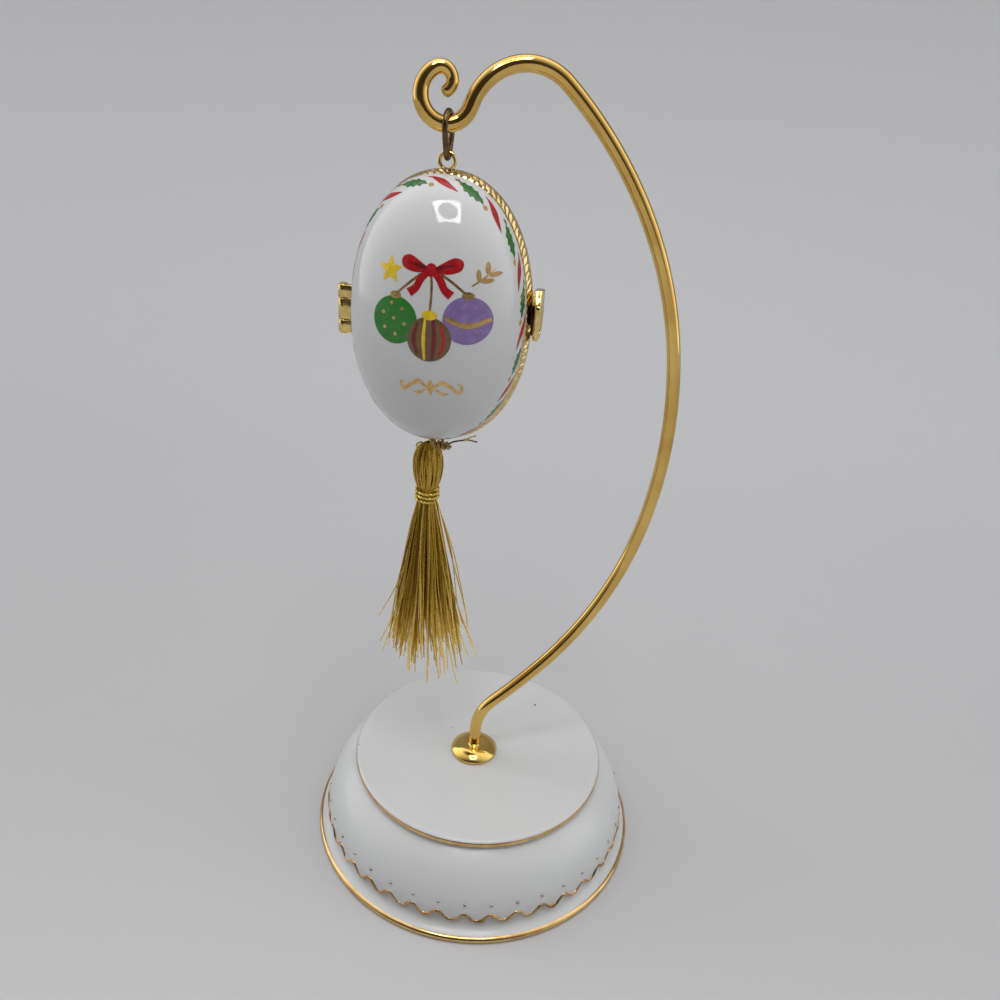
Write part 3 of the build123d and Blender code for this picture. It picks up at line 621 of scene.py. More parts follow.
# The domed button at the rod's foot, drawn up to the rod in a small fillet
COLLAR_PROFILE = [(1.85, 0.0), (6.6, 0.0), (6.95, 0.08), (7.16, 0.35), (7.2, 0.75)]
COLLAR_PROFILE += arc_through((7.1, 1.15), (5.3, 2.5), (3.0, 3.05), 12)
COLLAR_PROFILE += [(2.5, 3.14), (2.1, 3.26), (1.88, 3.4)]


def hook_line():
    """The rod's centreline in its own plane."""
    rise = ROD_STRAIGHT_TOP_Z - ROD_BOTTOM_Z
    line = [Vector((0, ROD_BOTTOM_Z + rise * step / 8)) for step in range(9)]
    heading = 90.0

    def bend(radius, turn):
        nonlocal heading
        side = math.copysign(radius, turn)
        first = math.radians(heading)
        middle = line[-1] + Vector((-math.sin(first), math.cos(first))) * side
        steps = max(8, round(abs(turn) * max(radius, 6) / 70))
        for step in range(1, steps + 1):
            way = math.radians(heading + turn * step / steps)
            line.append(middle - Vector((-math.sin(way), math.cos(way))) * side)
        heading += turn

    for radius, turn in ARM_BENDS:
        bend(radius, turn)
    way = math.radians(heading)
    line.append(line[-1] + Vector((math.cos(way), math.sin(way))) * HOOK_RUN)
    for radius, turn in CURL_BENDS:
        bend(radius, turn)
    return line


def make_hook():
    line = hook_line()
    lengths = run_lengths(line)
    radii = []
    for length in lengths:
        share = min((lengths[-1] - length) / TAPER_LENGTH, 1)
        radii.append(TIP_RADIUS + (ROD_RADIUS - TIP_RADIUS) * share)
    end = line[-1]
    end_way = (end - line[-2]).normalized()
    for step in range(1, TIP_STEPS + 1):
        turn = math.pi / 2 * step / (TIP_STEPS + 0.2)
        line.append(end + end_way * TIP_RADIUS * 0.8 * math.sin(turn))
        radii.append(TIP_RADIUS * math.cos(turn))
    path = [(ROD_X + u * math.cos(HOOK_YAW), ROD_Y + u * math.sin(HOOK_YAW), z) for u, z in line]
    make_single(tube(path, radii, 28), "hook_wire", ROD_BRASS, "stand", "rod_brass", ["hook_rod"])


def make_collar():
    profile = [(radius, DISC_FLAT_Z + height) for radius, height in COLLAR_PROFILE]
    button = turned(profile, (ROD_X, ROD_Y), 96)
    make_single(button, "collar_button", COLLAR_BRASS, "stand", "collar_brass", ["post_collar"])


make_hook()
make_collar()


# Hanger ring and eyelets

RING_WIRE = 1.3
RING_LENGTH = 9.4
RING_TOP_RADIUS = 3.2
RING_FOOT_RADIUS = 1.45
EYELET_WIRE = 0.9
EYELET_RADIUS = 1.8
TOP_EYELET_Z = box_mm("top_eyelet")[1].z - EYELET_WIRE / 2 - EYELET_RADIUS
LOW_EYELET_Z = box_mm("bottom_eyelet")[0].z + EYELET_WIRE / 2 + EYELET_RADIUS


def drop_loop(x, y, top_z, foot_z, top_radius, foot_radius, steps=20):
    """A closed drop shape in an upright plane across the egg."""
    high = top_z - top_radius
    low = foot_z + foot_radius
    lean = math.asin((top_radius - foot_radius) / (high - low))
    path = []
    for radius, middle, start, sweep in (
        (top_radius, high, -lean, math.pi + 2 * lean),
        (foot_radius, low, math.pi + lean, math.pi - 2 * lean),
    ):
        for step in range(steps + 1):
            turn = start + sweep * step / steps
            path.append((x, y + radius * math.cos(turn), middle + radius * math.sin(turn)))
    return path


def make_hanger():
    top_z = RING_FOOT_Z + RING_LENGTH
    path = drop_loop(HANG_X, HANG_Y, top_z, RING_FOOT_Z, RING_TOP_RADIUS, RING_FOOT_RADIUS)
    wire = tube(path, RING_WIRE / 2, 16, closed=True)
    make_single(wire, "hanger_wire", RING_BRONZE, "hanger", "ring_bronze", ["hanger_ring"])


def make_eyelet(name, node, middle_z):
    path = []
    for turn in full_turn(48):
        x = HANG_X + EYELET_RADIUS * math.cos(turn)
        path.append((x, HANG_Y, middle_z + EYELET_RADIUS * math.sin(turn)))
    wire = tube(path, EYELET_WIRE / 2, 16, closed=True)
    make_single(wire, name, FITTING_BRASS, "egg_back", "fitting_brass", [node])


make_hanger()
make_eyelet("top_eyelet_wire", "top_eyelet", TOP_EYELET_Z)
make_eyelet("bottom_eyelet_wire", "bottom_eyelet", LOW_EYELET_Z)


# Egg shells and rims

SHELL_GRID = 97
LOBES = 104
LOBE_STEPS = 14
LOBE_DEPTH = 0.3
LOBE_SLANT = 1.1
RIM_FALL = 0.95
RIM_ROWS = 10
OUTLINE_STEPS = 4000


def fuller(value):
    """A sine or cosine bent so that an ellipse becomes the egg's blunter oval."""
    return math.copysign(abs(value) ** (2 / FULLNESS), value)


def oval(half_width, top_half, foot_half, turn):
    """A point of an egg outline in the seam plane."""
    half = top_half if math.sin(turn) > 0 else foot_half
    return Vector((half_width * fuller(math.cos(turn)), half * fuller(math.sin(turn))))


def make_shell(name, node, body, middle, side):
    """One porcelain cup. Its grid has its poles at the top and the bottom of the seam."""
    last = SHELL_GRID - 1
    points = []
    for inset in (0, SHELL_WALL):
        for row in range(SHELL_GRID):
            tilt = math.pi * row / last - math.pi / 2
            half = SHELL_TOP_HALF if tilt > 0 else SHELL_FOOT_HALF
            girth = fuller(max(math.cos(tilt), 0))
            for column in range(SHELL_GRID):
                turn = math.pi * column / last
                x = (SHELL_HALF_WIDTH - inset) * math.cos(turn) * girth
                y = side * (SHELL_DEPTH - inset) * math.sin(turn) * girth
                points.append(middle + Vector((x, y, (half - inset) * fuller(math.sin(tilt)))))
    outer = grid_faces(SHELL_GRID, SHELL_GRID)
    count = SHELL_GRID**2
    faces = list(outer) + [[count + index for index in reversed(quad)] for quad in outer]
    for row in range(last):
        for column in (0, last):
            low = row * SHELL_GRID + column
            high = low + SHELL_GRID
            strip = [low, high, count + high, count + low]
            faces.append(strip if column == 0 else strip[::-1])
    if side < 0:
        faces = [quad[::-1] for quad in faces]
    piece = make_single((points, faces), name, EGG_PORCELAIN, body, "egg_porcelain", [node])
    tidy = bmesh.new()
    tidy.from_mesh(piece.data)
    bmesh.ops.remove_doubles(tidy, verts=tidy.verts, dist=0.002 * MM)
    bmesh.ops.recalc_face_normals(tidy, faces=tidy.faces)
    tidy.to_mesh(piece.data)
    tidy.free()


def rim_outline(count):
    """Evenly spaced points of the rims' outline, each with its outward direction."""
    halves = (RIM_HALF_WIDTH, RIM_TOP_HALF, RIM_FOOT_HALF)
    dense = [oval(*halves, 2 * math.pi * step / OUTLINE_STEPS) for step in range(OUTLINE_STEPS + 1)]
    lengths = run_lengths(dense)
    spaced = []
    index = 0
    for step in range(count):
        wanted = lengths[-1] * step / count
        while lengths[index + 1] < wanted:
            index += 1
        share = (wanted - lengths[index]) / (lengths[index + 1] - lengths[index])
        place = dense[index].lerp(dense[index + 1], share)
        half = RIM_TOP_HALF if place.y > 0 else RIM_FOOT_HALF
        across = math.copysign(abs(place.x / RIM_HALF_WIDTH) ** (FULLNESS - 1), place.x) / RIM_HALF_WIDTH
        along = math.copysign(abs(place.y / half) ** (FULLNESS - 1), place.y) / half
        spaced.append((place, Vector((across, along)).normalized()))
    return spaced


def make_rim(name, node, body, side):
    """One brass band with slanted engraved lobes, which falls towards its cup."""
    start = SEAM_GAP if side < 0 else 0.0
    outline = rim_outline(LOBES * LOBE_STEPS)
    inside = -RIM_PROUD - SHELL_WALL
    rows = [(0.0, inside, 0.0)]
    for step in range(RIM_ROWS + 1):
        share = step / RIM_ROWS
        fall = -RIM_FALL * max(0, (share - 0.2) / 0.8) ** 1.3
        rows.append((share, fall, 1 - abs(2 * share - 1) ** 4))
    rows.append((1.0, inside, 0.0))
    points = []
    for share, rise, relief in rows:
        depth = start + (RIM_DEPTH - start) * share
        for column, (place, out) in enumerate(outline):
            phase = column / LOBE_STEPS + LOBE_SLANT * share + 0.12 * math.sin(column * 0.37)
            groove = (1 - abs(math.sin(math.pi * phase))) ** 1.6
            spot = place + out * (rise - LOBE_DEPTH * groove * relief)
            points.append((EGG_X + spot.x, SEAM_Y + side * depth, EGG_Z + spot.y))
    faces = grid_faces(len(rows), len(outline), loop_columns=True, loop_rows=True)
    if side > 0:
        faces = [quad[::-1] for quad in faces]
    make_single((points, faces), name, RIM_BRASS, body, "rim_brass", [node], sharp=60)


make_shell("front_cup", "egg_front_shell", "egg_front", FRONT_MIDDLE, -1)
make_shell("back_cup", "egg_back_shell", "egg_back", BACK_MIDDLE, 1)
make_rim("front_band", "egg_front_rim", "egg_front", -1)
make_rim("back_band", "egg_back_rim", "egg_back", 1)


# Hinge and clasp

KNUCKLE_RADIUS = 1.35
KNUCKLE_EASE = 0.22
LEAF_THICKNESS = 1.3
PLATE_X = RIM_HIGH.x + 0.9
PLATE_THICKNESS = 1.3
PLATE_TOP_BOW = 0.7
PLATE_FOOT_BOW = 0.3
PLATE_CORNER = 2.4
SLOT_HALF = (1.1, 3.1)
SLOT_DROP = 1.4
# The slanted face of the clasp's head: its direction across and up the plate, and its distance
HEAD_FACING = Vector((-0.84, 0.543))
HEAD_REACH = 3.9
HEAD_LEAN = 2.1


def make_knuckle(name, node, body, side):
    """A rolled barrel and its leaf. The back ones are filled behind the barrel."""
    low, high = (corner.z for corner in box_mm(node))
    half = [(0.6, 0.05), (KNUCKLE_RADIUS - KNUCKLE_EASE, 0.0), (KNUCKLE_RADIUS - 0.06, 0.08)]
    half.append((KNUCKLE_RADIUS, KNUCKLE_EASE))
    profile = [(radius, low + ease) for radius, ease in half]
    profile += [(radius, high - ease) for radius, ease in half[::-1]]
    shape = Shape()
    shape.add(*turned(profile, (HINGE.x, HINGE.y), 40))
    near = HINGE.y + side * (SEAM_GAP if side < 0 else 0.0)
    far = HINGE.y + side * LEAF_THICKNESS
    leaf_low = (HINGE.x, min(near, far), low + 0.04)
    leaf_high = (RIM_LOW.x + 0.5, max(near, far), high - 0.04)
    shape.add(*rounded_block(leaf_low, leaf_high, 0.16))
    if side > 0:
        block_low = (HINGE.x - 0.6, HINGE.y - KNUCKLE_RADIUS + 0.05, low + 0.03)
        block_high = (HINGE.x + 2.9, HINGE.y + KNUCKLE_RADIUS - 0.05, high - 0.03)
        shape.add(*rounded_block(block_low, block_high, 0.3))
    shape.make(name, FITTING_BRASS, body, "fitting_brass", [node], sharp=50)


def rounded_spot(half_a, half_b, radius, turn):
    """A point of a rounded rectangle in a direction from its middle."""
    way = Vector((math.cos(turn), math.sin(turn)))
    low, high = 0.0, half_a + half_b
    for _ in range(40):
        reach = (low + high) / 2
        a = max(abs(way.x * reach) - half_a + radius, 0)
        b = max(abs(way.y * reach) - half_b + radius, 0)
        if math.hypot(a, b) > radius:
            high = reach
        else:
            low = reach
    return way * low


def make_clasp():
    """The slotted thumb tab: a bowed plate with a slanted head, on a foot that stands on the back rim."""
    middle_z = (CLASP_LOW.z + CLASP_HIGH.z) / 2
    half_y = (CLASP_HIGH.y - CLASP_LOW.y) / 2
    half_z = (CLASP_HIGH.z - CLASP_LOW.z) / 2
    turns = full_turn(96)
    # Rings of the plate, each with its inset and its height: its edge, its slot and its edge again
    top = PLATE_THICKNESS
    edge = [(0.0, 0.25), (0.0, top - 0.25), (0.08, top - 0.08), (0.25, top)]
    slot = [(0.2, top), (0.06, top - 0.07), (0.0, top - 0.2), (0.0, 0.2), (0.2, 0.0)]
    rings = [(True, *ring) for ring in edge] + [(False, *ring) for ring in slot] + [(True, 0.25, 0.0)]
    points = []
    for outer, inset, height in rings:
        for turn in turns:
            if outer:
                spot = rounded_spot(half_y - inset, half_z - inset, PLATE_CORNER - inset, turn)
                past = spot.dot(HEAD_FACING) - HEAD_REACH
                if past > 0:
                    spot *= HEAD_REACH / (HEAD_REACH + past)
            else:
                across, along = SLOT_HALF
                spot = rounded_spot(across + inset, along + inset, across + inset - 0.01, turn)
                spot.y -= SLOT_DROP
            fall = (PLATE_TOP_BOW if spot.y > 0 else PLATE_FOOT_BOW) * (spot.y / half_z) ** 2
            points.append((PLATE_X + height - fall, SEAM_Y + spot.x, middle_z + spot.y))
    shape = Shape()
    shape.add(points, grid_faces(len(rings), len(turns), loop_columns=True, loop_rows=True))
    head_low = (PLATE_X - 0.85, CLASP_LOW.y, CLASP_HIGH.z - 3.3)
    head_high = (PLATE_X + 1.25, CLASP_HIGH.y - 0.6, CLASP_HIGH.z - 0.05)
    shape.add(*rounded_block(head_low, head_high, 0.3, HEAD_LEAN))
    shape.make("clasp_thumb_tab", FITTING_BRASS, "egg_back", "fitting_brass", ["clasp_tab"], sharp=50)
    # The foot is a dark wall under the plate that paints the shade of the gap
    foot_low = (RIM_HIGH.x - 0.5, SEAM_Y, middle_z - SLOT_DROP - 3.5)
    foot_high = (PLATE_X + 0.2, SEAM_Y + 1.9, middle_z - SLOT_DROP + 3.5)
    foot = rounded_block(foot_low, foot_high, 0.2)
    make_single(foot, "clasp_foot", GAP_SHADE_METAL, "egg_back", "fitting_brass", sharp=50)


make_knuckle("hinge_barrel_low", "hinge_lower_knuckle", "egg_back", 1)
make_knuckle("hinge_barrel_high", "hinge_upper_knuckle", "egg_back", 1)
make_knuckle("hinge_barrel_front", "hinge_front_knuckle", "egg_front", -1)
make_clasp()

for node, material in (
    ("hinge_pin", FITTING_BRASS),
    # The catch also carries the painted shade of the gap
    ("clasp_catch", GAP_SHADE_METAL),
    ("base_gasket", GASKET_RUBBER),
    ("clamp_washer", CLAMP_STEEL),
    ("clamp_nut", CLAMP_STEEL),
):
    frame["nodes"][node].data.materials.clear()
    frame["nodes"][node].data.materials.append(material)


# Printed decoration on the front cup

PRINT_LIFT = 0.03
PRINT_SWELL = 0.02
PRINT_SINK = -0.05
ARC_PER_TILT = 16.6


def on_front(x, z, lift):
    """A point above the front cup, from its place in the seam plane."""
    half = SHELL_TOP_HALF if z > 0 else SHELL_FOOT_HALF
    rise = min(abs(z) / half, 0.999)
    girth = (1 - rise**FULLNESS) ** (1 / FULLNESS)
    y = -SHELL_DEPTH * math.sqrt(max(girth**2 - (x / SHELL_HALF_WIDTH) ** 2, 0))
    slope = math.copysign(girth ** (2 - FULLNESS) * rise ** (FULLNESS - 1), z) / half
    out = Vector((x / SHELL_HALF_WIDTH**2, y / SHELL_DEPTH**2, slope)).normalized()
    return FRONT_MIDDLE + Vector((x, y, z)) + out * lift


def in_outline(spot, outline):
    """Whether a plane point lies inside a closed outline."""
    inside = False
    for a, b in zip(outline, outline[1:] + outline[:1]):
        if (a.y > spot.y) != (b.y > spot.y):
            if spot.x < a.x + (b.x - a.x) * (spot.y - a.y) / (b.y - a.y):
                inside = not inside
    return inside


def print_patch(shape, outline, place, layer=0, step=0.55):
    """A thin raised patch of colour inside an outline. Place maps a plane point and a lift to the egg."""
    outline = [Vector(spot) for spot in outline]
    low_x, high_x = min(p.x for p in outline), max(p.x for p in outline)
    low_y, high_y = min(p.y for p in outline), max(p.y for p in outline)
    inside = []
    for row in range(1, int((high_y - low_y) / step) + 1):
        for column in range(1, int((high_x - low_x) / step) + 1):
            spot = Vector((low_x + column * step, low_y + row * step))
            if in_outline(spot, outline) and all((spot - edge).length > step * 0.5 for edge in outline):
                inside.append(spot)
    count = len(outline)
    edges = [(index, (index + 1) % count) for index in range(count)]
    spots, _, faces, _, _, _ = delaunay_2d_cdt(outline + inside, edges, [], 1, 1e-5)
    uses = {}
    for face in faces:
        for a, b in zip(face, list(face[1:]) + [face[0]]):
            uses.setdefault((min(a, b), max(a, b)), []).append((a, b))
    border = [pairs[0] for pairs in uses.values() if len(pairs) == 1]
    rim = sorted({index for pair in border for index in pair})
    lift = PRINT_LIFT * (layer + 1)
    lifts = [lift if index in rim else lift + PRINT_SWELL for index in range(len(spots))]
    points = [place(*spot, height) for spot, height in zip(spots, lifts)]
    sunk = {index: len(points) + order for order, index in enumerate(rim)}
    points += [place(*spots[index], PRINT_SINK) for index in rim]
    faces = [list(face) for face in faces]
    shape.add(points, faces + [[b, a, sunk[a], sunk[b]] for a, b in border])


def brush_stroke(corners, widths, steps=8):
    """The outline of a stroke along a smooth line, with a width at each corner."""
    line = smooth_path([(x, y, width) for (x, y), width in zip(corners, widths)], steps)
    left = []
    right = []
    for index, spot in enumerate(line):
        way = line[min(index + 1, len(line) - 1)] - line[max(index - 1, 0)]
        side = Vector((-way.y, way.x)).normalized() * max(spot.z, 0.02) / 2
        left.append((spot.x + side.x, spot.y + side.y))
        right.append((spot.x - side.x, spot.y - side.y))
    return left + right[::-1]


def ellipse(x, y, half_x, half_y, lean=0.0, count=28):
    way = math.radians(lean)
    outline = []
    for turn in full_turn(count):
        a, b = half_x * math.cos(turn), half_y * math.sin(turn)
        across = x + a * math.cos(way) - b * math.sin(way)
        outline.append((across, y + a * math.sin(way) + b * math.cos(way)))
    return outline


BORDER_REPEATS = 12
# The border's middle line starts at this outline angle and runs clockwise
BORDER_START = 103.2
BORDER_STEPS = 2400
BORDER_SHRINK = 0.97
LEAF_TEETH = [(-3.7, -0.75), (-2.9, -0.9), (-2.5, -1.45), (-1.5, -0.95), (-0.9, -1.5), (0.2, -0.85)]
LEAF_TEETH += [(0.9, -1.25), (1.7, -0.4), (2.6, -0.35), (3.6, 0.75), (2.3, 0.85), (1.7, 1.5), (0.7, 1.0)]
LEAF_TEETH += [(0.1, 1.6), (-0.9, 1.0), (-1.6, 1.35), (-2.3, 0.4), (-3.0, 0.1)]
LEAF_LEAN = 0.12
RIBBON_LINE = [(-4.1, -1.7), (-2.4, -1.1), (-0.4, 0.0), (1.6, 1.1), (4.0, 1.9)]


def cup_edge(turn):
    """A point of the front cup's edge in the seam plane, from an outline angle."""
    return oval(SHELL_HALF_WIDTH, SHELL_TOP_HALF, SHELL_FOOT_HALF, turn)


BORDER_ANGLES = [math.radians(BORDER_START - 360 * step / BORDER_STEPS) for step in range(BORDER_STEPS + 1)]
BORDER_RUNS = [run * BORDER_SHRINK for run in run_lengths([cup_edge(turn) for turn in BORDER_ANGLES])]


def on_border(run, across, lift):
    """A point above the front cup, from a length along the border and a distance inwards from its line."""
    run = run % BORDER_RUNS[-1]
    index = max(bisect.bisect_left(BORDER_RUNS, run) - 1, 0)
    share = (run - BORDER_RUNS[index]) / (BORDER_RUNS[index + 1] - BORDER_RUNS[index])
    turn = BORDER_ANGLES[index] + (BORDER_ANGLES[index + 1] - BORDER_ANGLES[index]) * share
    # The line lies further from the cup's edge at the top and nearer at the clasp
    inset = 3.1 - 0.4 * math.cos(turn) + 1.9 * max(math.sin(turn), 0) ** 1.5
    tilt = max(inset + across, 0.15) / ARC_PER_TILT
    return on_front(*(cup_edge(turn) * math.cos(tilt)), lift)


def make_border():
    """The border: a holly leaf with a berry at each end, and a ribbon stroke, time after time."""
    leaves = Shape()
    ribbons = Shape()
    brown_berries = Shape()
    gold_berries = Shape()
    pitch = BORDER_RUNS[-1] / BORDER_REPEATS
    for repeat in range(BORDER_REPEATS):
        middle = pitch * repeat
        sway = chance.uniform(0.94, 1.06)

        def place(x, y, lift):
            return on_border(middle + x, y, lift)

        def ribbon_place(x, y, lift):
            return on_border(middle + pitch / 2 + x, y, lift)

        print_patch(leaves, [(x * sway, y + x * LEAF_LEAN) for x, y in LEAF_TEETH], place, 0, 0.5)
        ribbon = brush_stroke(RIBBON_LINE, [0.1, 0.9, 1.75 * sway, 1.2, 0.1])
        print_patch(ribbons, ribbon, ribbon_place, 0, 0.45)
        print_patch(brown_berries, ellipse(-4.1, -1.6, 0.72, 0.5, 15, 16), place, 0, 0.4)
        print_patch(gold_berries, ellipse(4.3, 1.35, 0.7, 0.55, 20, 16), place, 0, 0.4)
    leaves.make("border_leaves", HOLLY_GREEN, "egg_front", "egg_porcelain")
    ribbons.make("border_ribbons", RIBBON_RED, "egg_front", "egg_porcelain")
    brown_berries.make("border_brown_berries", BERRY_BROWN, "egg_front", "egg_porcelain")
    gold_berries.make("border_gold_berries", BERRY_GOLD, "egg_front", "egg_porcelain")


MOTIF_PLACE = (2.1, 4.3)
FLOURISH_PLACE = (2.7, -13.0)
# Gold ribbons from the bow down to the baubles
HANGERS = [
    [(-0.6, 8.4), (-4.2, 5.6), (-7.6, 2.6)],
    [(0.0, 8.2), (0.4, 3.6), (0.2, -1.6)],
    [(0.6, 8.4), (4.6, 6.0), (8.0, 3.4)],
]
# The right half of the bow
BOW_LOOP = [(0.3, 8.3), (2.2, 9.6), (4.8, 10.9), (6.5, 10.2), (6.3, 8.5), (4.2, 7.6), (1.8, 7.6)]
BOW_TAIL = [(0.4, 7.8), (2.0, 6.4), (3.1, 4.4), (4.6, 3.2)]
BOW_FOLD = [(1.0, 8.4), (3.2, 9.1), (5.2, 9.3)]
# The baubles: middle and half width, with what is on them
GREEN_BAUBLE = (-7.8, -3.0, 5.3, 5.2)
GREEN_DOTS = [(-10.6, -1.6), (-8.6, 0.6), (-6.0, -0.4), (-8.0, -2.6)]
GREEN_DOTS += [(-10.2, -4.8), (-5.4, -3.6), (-7.6, -6.0)]
STRIPED_X, STRIPED_Y = 0.2, -6.4
STRIPES = [(-3.1, 1.0, WINE), (-1.1, 0.8, YELLOW), (1.1, 1.0, WINE), (3.0, 0.8, RIBBON_RED)]
LAVENDER_BAUBLE = (8.2, -1.9, 5.2, 5.2)
LAVENDER_BAND = [(3.4, -1.4), (8.2, -3.0), (13.0, -1.4)]
STAR_X, STAR_Y = -9.2, 7.4
SPRIG_STEM = [(8.6, 5.4), (10.8, 7.0), (12.8, 9.2)]
SPRIG_LEAVES = [(9.8, 7.6, 100), (11.6, 6.6, 10), (11.4, 9.2, 95), (13.0, 8.0, 15)]
# The right half of the flourish
SCROLL = [(0.9, -0.2), (2.6, 1.1), (4.6, 0.2), (6.2, -1.2), (7.0, 0.2), (6.0, 1.0)]
SCROLL_WIDTHS = [0.3, 1.1, 0.9, 0.8, 0.6, 0.35]
SCROLL_CURL = [(1.0, -0.6), (2.6, -1.6), (4.2, -1.5)]
DIAMOND = [(0, 2.0), (1.0, 0.0), (0, -2.2), (-1.0, 0.0)]


def make_motif():
    """A plain festive motif: three hanging baubles under a bow, with a star, a sprig and a flourish."""
    parts = {}

    def patch(material, outline, layer=0, middle=MOTIF_PLACE):
        def place(x, y, lift):
            return on_front(middle[0] + x, middle[1] + y, lift)

        shape = parts.setdefault(material.name, (material, Shape()))[1]
        print_patch(shape, outline, place, layer)

    def flipped(line, side):
        return [(x * side, y) for x, y in line]

    for line in HANGERS:
        patch(PRINT_GOLD, brush_stroke(line, [0.5, 0.55, 0.5]))
    for side in (-1, 1):
        loop = [(spot.x * side, spot.y) for spot in smooth_path(BOW_LOOP + BOW_LOOP[:1], 6)[:-1]]
        patch(RIBBON_RED, loop, 1)
        patch(RIBBON_RED, brush_stroke(flipped(BOW_TAIL, side), [1.0, 1.6, 1.6, 1.9]), 1)
        patch(WINE, brush_stroke(flipped(BOW_FOLD, side), [0.9, 0.7, 0.1]), 2)
    patch(RIBBON_RED, ellipse(0, 8.2, 1.25, 1.35), 2)
    patch(LEAF_GREEN, ellipse(*GREEN_BAUBLE, count=40), 0)
    for x, y in GREEN_DOTS:
        patch(PRINT_GOLD, ellipse(x, y, 0.42, 0.42, count=14), 1)
    patch(PRINT_GOLD, ellipse(-7.7, 2.4, 1.3, 0.8), 1)
    patch(OLIVE, ellipse(STRIPED_X, STRIPED_Y, 4.9, 4.9, count=40), 1)
    for x, width, material in STRIPES:
        reach = math.sqrt(4.7**2 - x * x)
        ends = [(STRIPED_X + x * 0.8, STRIPED_Y + rise) for rise in (reach, -reach)]
        stripe = [ends[0], (STRIPED_X + x * 1.08, STRIPED_Y), ends[1]]
        patch(material, brush_stroke(stripe, [width * 0.6, width, width * 0.6]), 2)
    patch(YELLOW, ellipse(0.2, -1.2, 1.7, 1.0), 2)
    patch(LAVENDER, ellipse(*LAVENDER_BAUBLE, count=40), 0)
    patch(PRINT_GOLD, brush_stroke(LAVENDER_BAND, [0.9, 1.2, 0.9]), 2)
    patch(PRINT_GOLD, ellipse(8.1, 3.4, 1.3, 0.8), 1)
    star = []
    for point in range(10):
        turn = math.radians(90 + 36 * point)
        reach = 3.1 if point % 2 == 0 else 1.35
        star.append((STAR_X + reach * math.cos(turn), STAR_Y + reach * math.sin(turn)))
    patch(YELLOW, star, 1)
    patch(PRINT_GOLD, brush_stroke(SPRIG_STEM, [0.3, 0.5, 0.2]), 0)
    for x, y, lean in SPRIG_LEAVES:
        patch(BERRY_GOLD, ellipse(x, y, 1.25, 0.5, lean, 18), 1)
    for side in (-1, 1):
        patch(PRINT_GOLD, brush_stroke(flipped(SCROLL, side), SCROLL_WIDTHS), 0, FLOURISH_PLACE)
        patch(PRINT_GOLD, brush_stroke(flipped(SCROLL_CURL, side), [0.3, 0.8, 0.2]), 0, FLOURISH_PLACE)
    patch(PRINT_GOLD, DIAMOND, 1, FLOURISH_PLACE)
    for name, (material, shape) in parts.items():
        shape.make("motif_" + name, material, "egg_front", "egg_porcelain")


make_border()
make_motif()


# Tassel

LOOP_CORD = 0.9
LOOP_LENGTH = 4.4
LOOP_TOP_Z = box_mm("tassel_loop")[1].z - LOOP_CORD / 2
NECK_RADIUS = 2.55
SKIRT_RADIUS = 13.1
SKIRT_STRANDS = 330
SKIRT_LOCKS = 11
SKIRT_DRIFT = 1.5
STRAND_STEPS = 17
STRAND_SIDES = 5
GOLDEN_TURN = 2.39996
# Stray threads: direction in degrees, reach at the end, share of the length, and how late they flare
STRAY_STRANDS = [(-10, 11.6, 0.76, 0.4), (5, 8.4, 0.62, 0.46), (12, 15.0, 0.99, 1.5)]
STRAY_STRANDS += [(-6, 14.2, 0.91, 1.6), (20, 12.6, 1.03, 1.4), (-30, 11.0, 1.12, 1.3)]
STRAY_STRANDS += [(-60, 8.4, 1.08, 1.2), (184, 14.0, 0.76, 1.9), (176, 12.8, 1.0, 1.6)]
STRAY_STRANDS += [(190, 11.4, 0.79, 1.5), (205, 8.4, 1.0, 1.3), (192, 13.6, 0.9, 2.0)]
STRAY_STRANDS += [(-100, 6.0, 1.05, 1.2), (-130, 7.0, 1.04, 1.3), (-25, 9.4, 0.8, 0.6)]
HEAD_THREADS = 62
# Radius and height of the folded threads, from the loop down under the binding
HEAD_PROFILE = [(0.9, 0.5), (1.9, -0.1), (2.8, -1.1), (3.5, -2.9), (3.75, -5.2), (3.65, -7.4), (3.3, -9.4)]
HEAD_PROFILE += [(2.7, -11.3), (2.3, -12.4), (2.25, -15.6)]
HEAD_SWELLING = 7
# Slack folds near the head's top: direction, height and size
SLACK_FOLDS = [(-0.35, -1.4, 1.5), (-2.4, 0.1, 1.0), (-0.9, -0.4, 1.1)]
BINDING_TOP_Z = SKIRT_TOP_Z + 3.8
BINDING_CORD = 0.85
BINDING_TURNS = 3.0
BINDING_PITCH = 1.15
BINDING_STEPS = 150
KNOT_TURNS = 4
KNOT_RADIUS = 0.85
KNOT_SPREAD = 2.2
KNOT_CORD = 1.0
KNOT_STEPS = 96
TAIL_END = 2.85


def around_tassel(radius, turn, height):
    return Vector((TASSEL_X + radius * math.cos(turn), HANG_Y + radius * math.sin(turn), height))


def add_strand(shape, root, turn, reach, fall, bow, wave, thick, tone):
    """One loose thread from the bound neck to its cut end, with its own waves."""
    phase = chance.uniform(0, 6.28)
    swing = chance.uniform(-0.25, 0.25)
    path = []
    tones = []
    for step in range(STRAND_STEPS + 1):
        along = step / STRAND_STEPS
        flare = math.sin(math.pi / 2 * along) ** 0.9 if bow < 0.8 else along**bow
        radius = root + (reach - root) * flare
        spot = around_tassel(radius, turn + swing * along, SKIRT_TOP_Z + 1.5 - (fall + 1.5) * along)
        spot.x += wave * math.sin(phase * 2 + along * 8) * along + SKIRT_DRIFT * along**2
        spot.y += wave * math.cos(phase + along * 7) * along
        path.append(spot)
        # Painted shade along the middle of each strand and painted light towards its cut end
        tones += [tone - 0.18 * math.sin(math.pi * along) ** 2 + 0.35 * along**3] * STRAND_SIDES
    shape.add(*tube(path, thick, STRAND_SIDES), tone=tones)


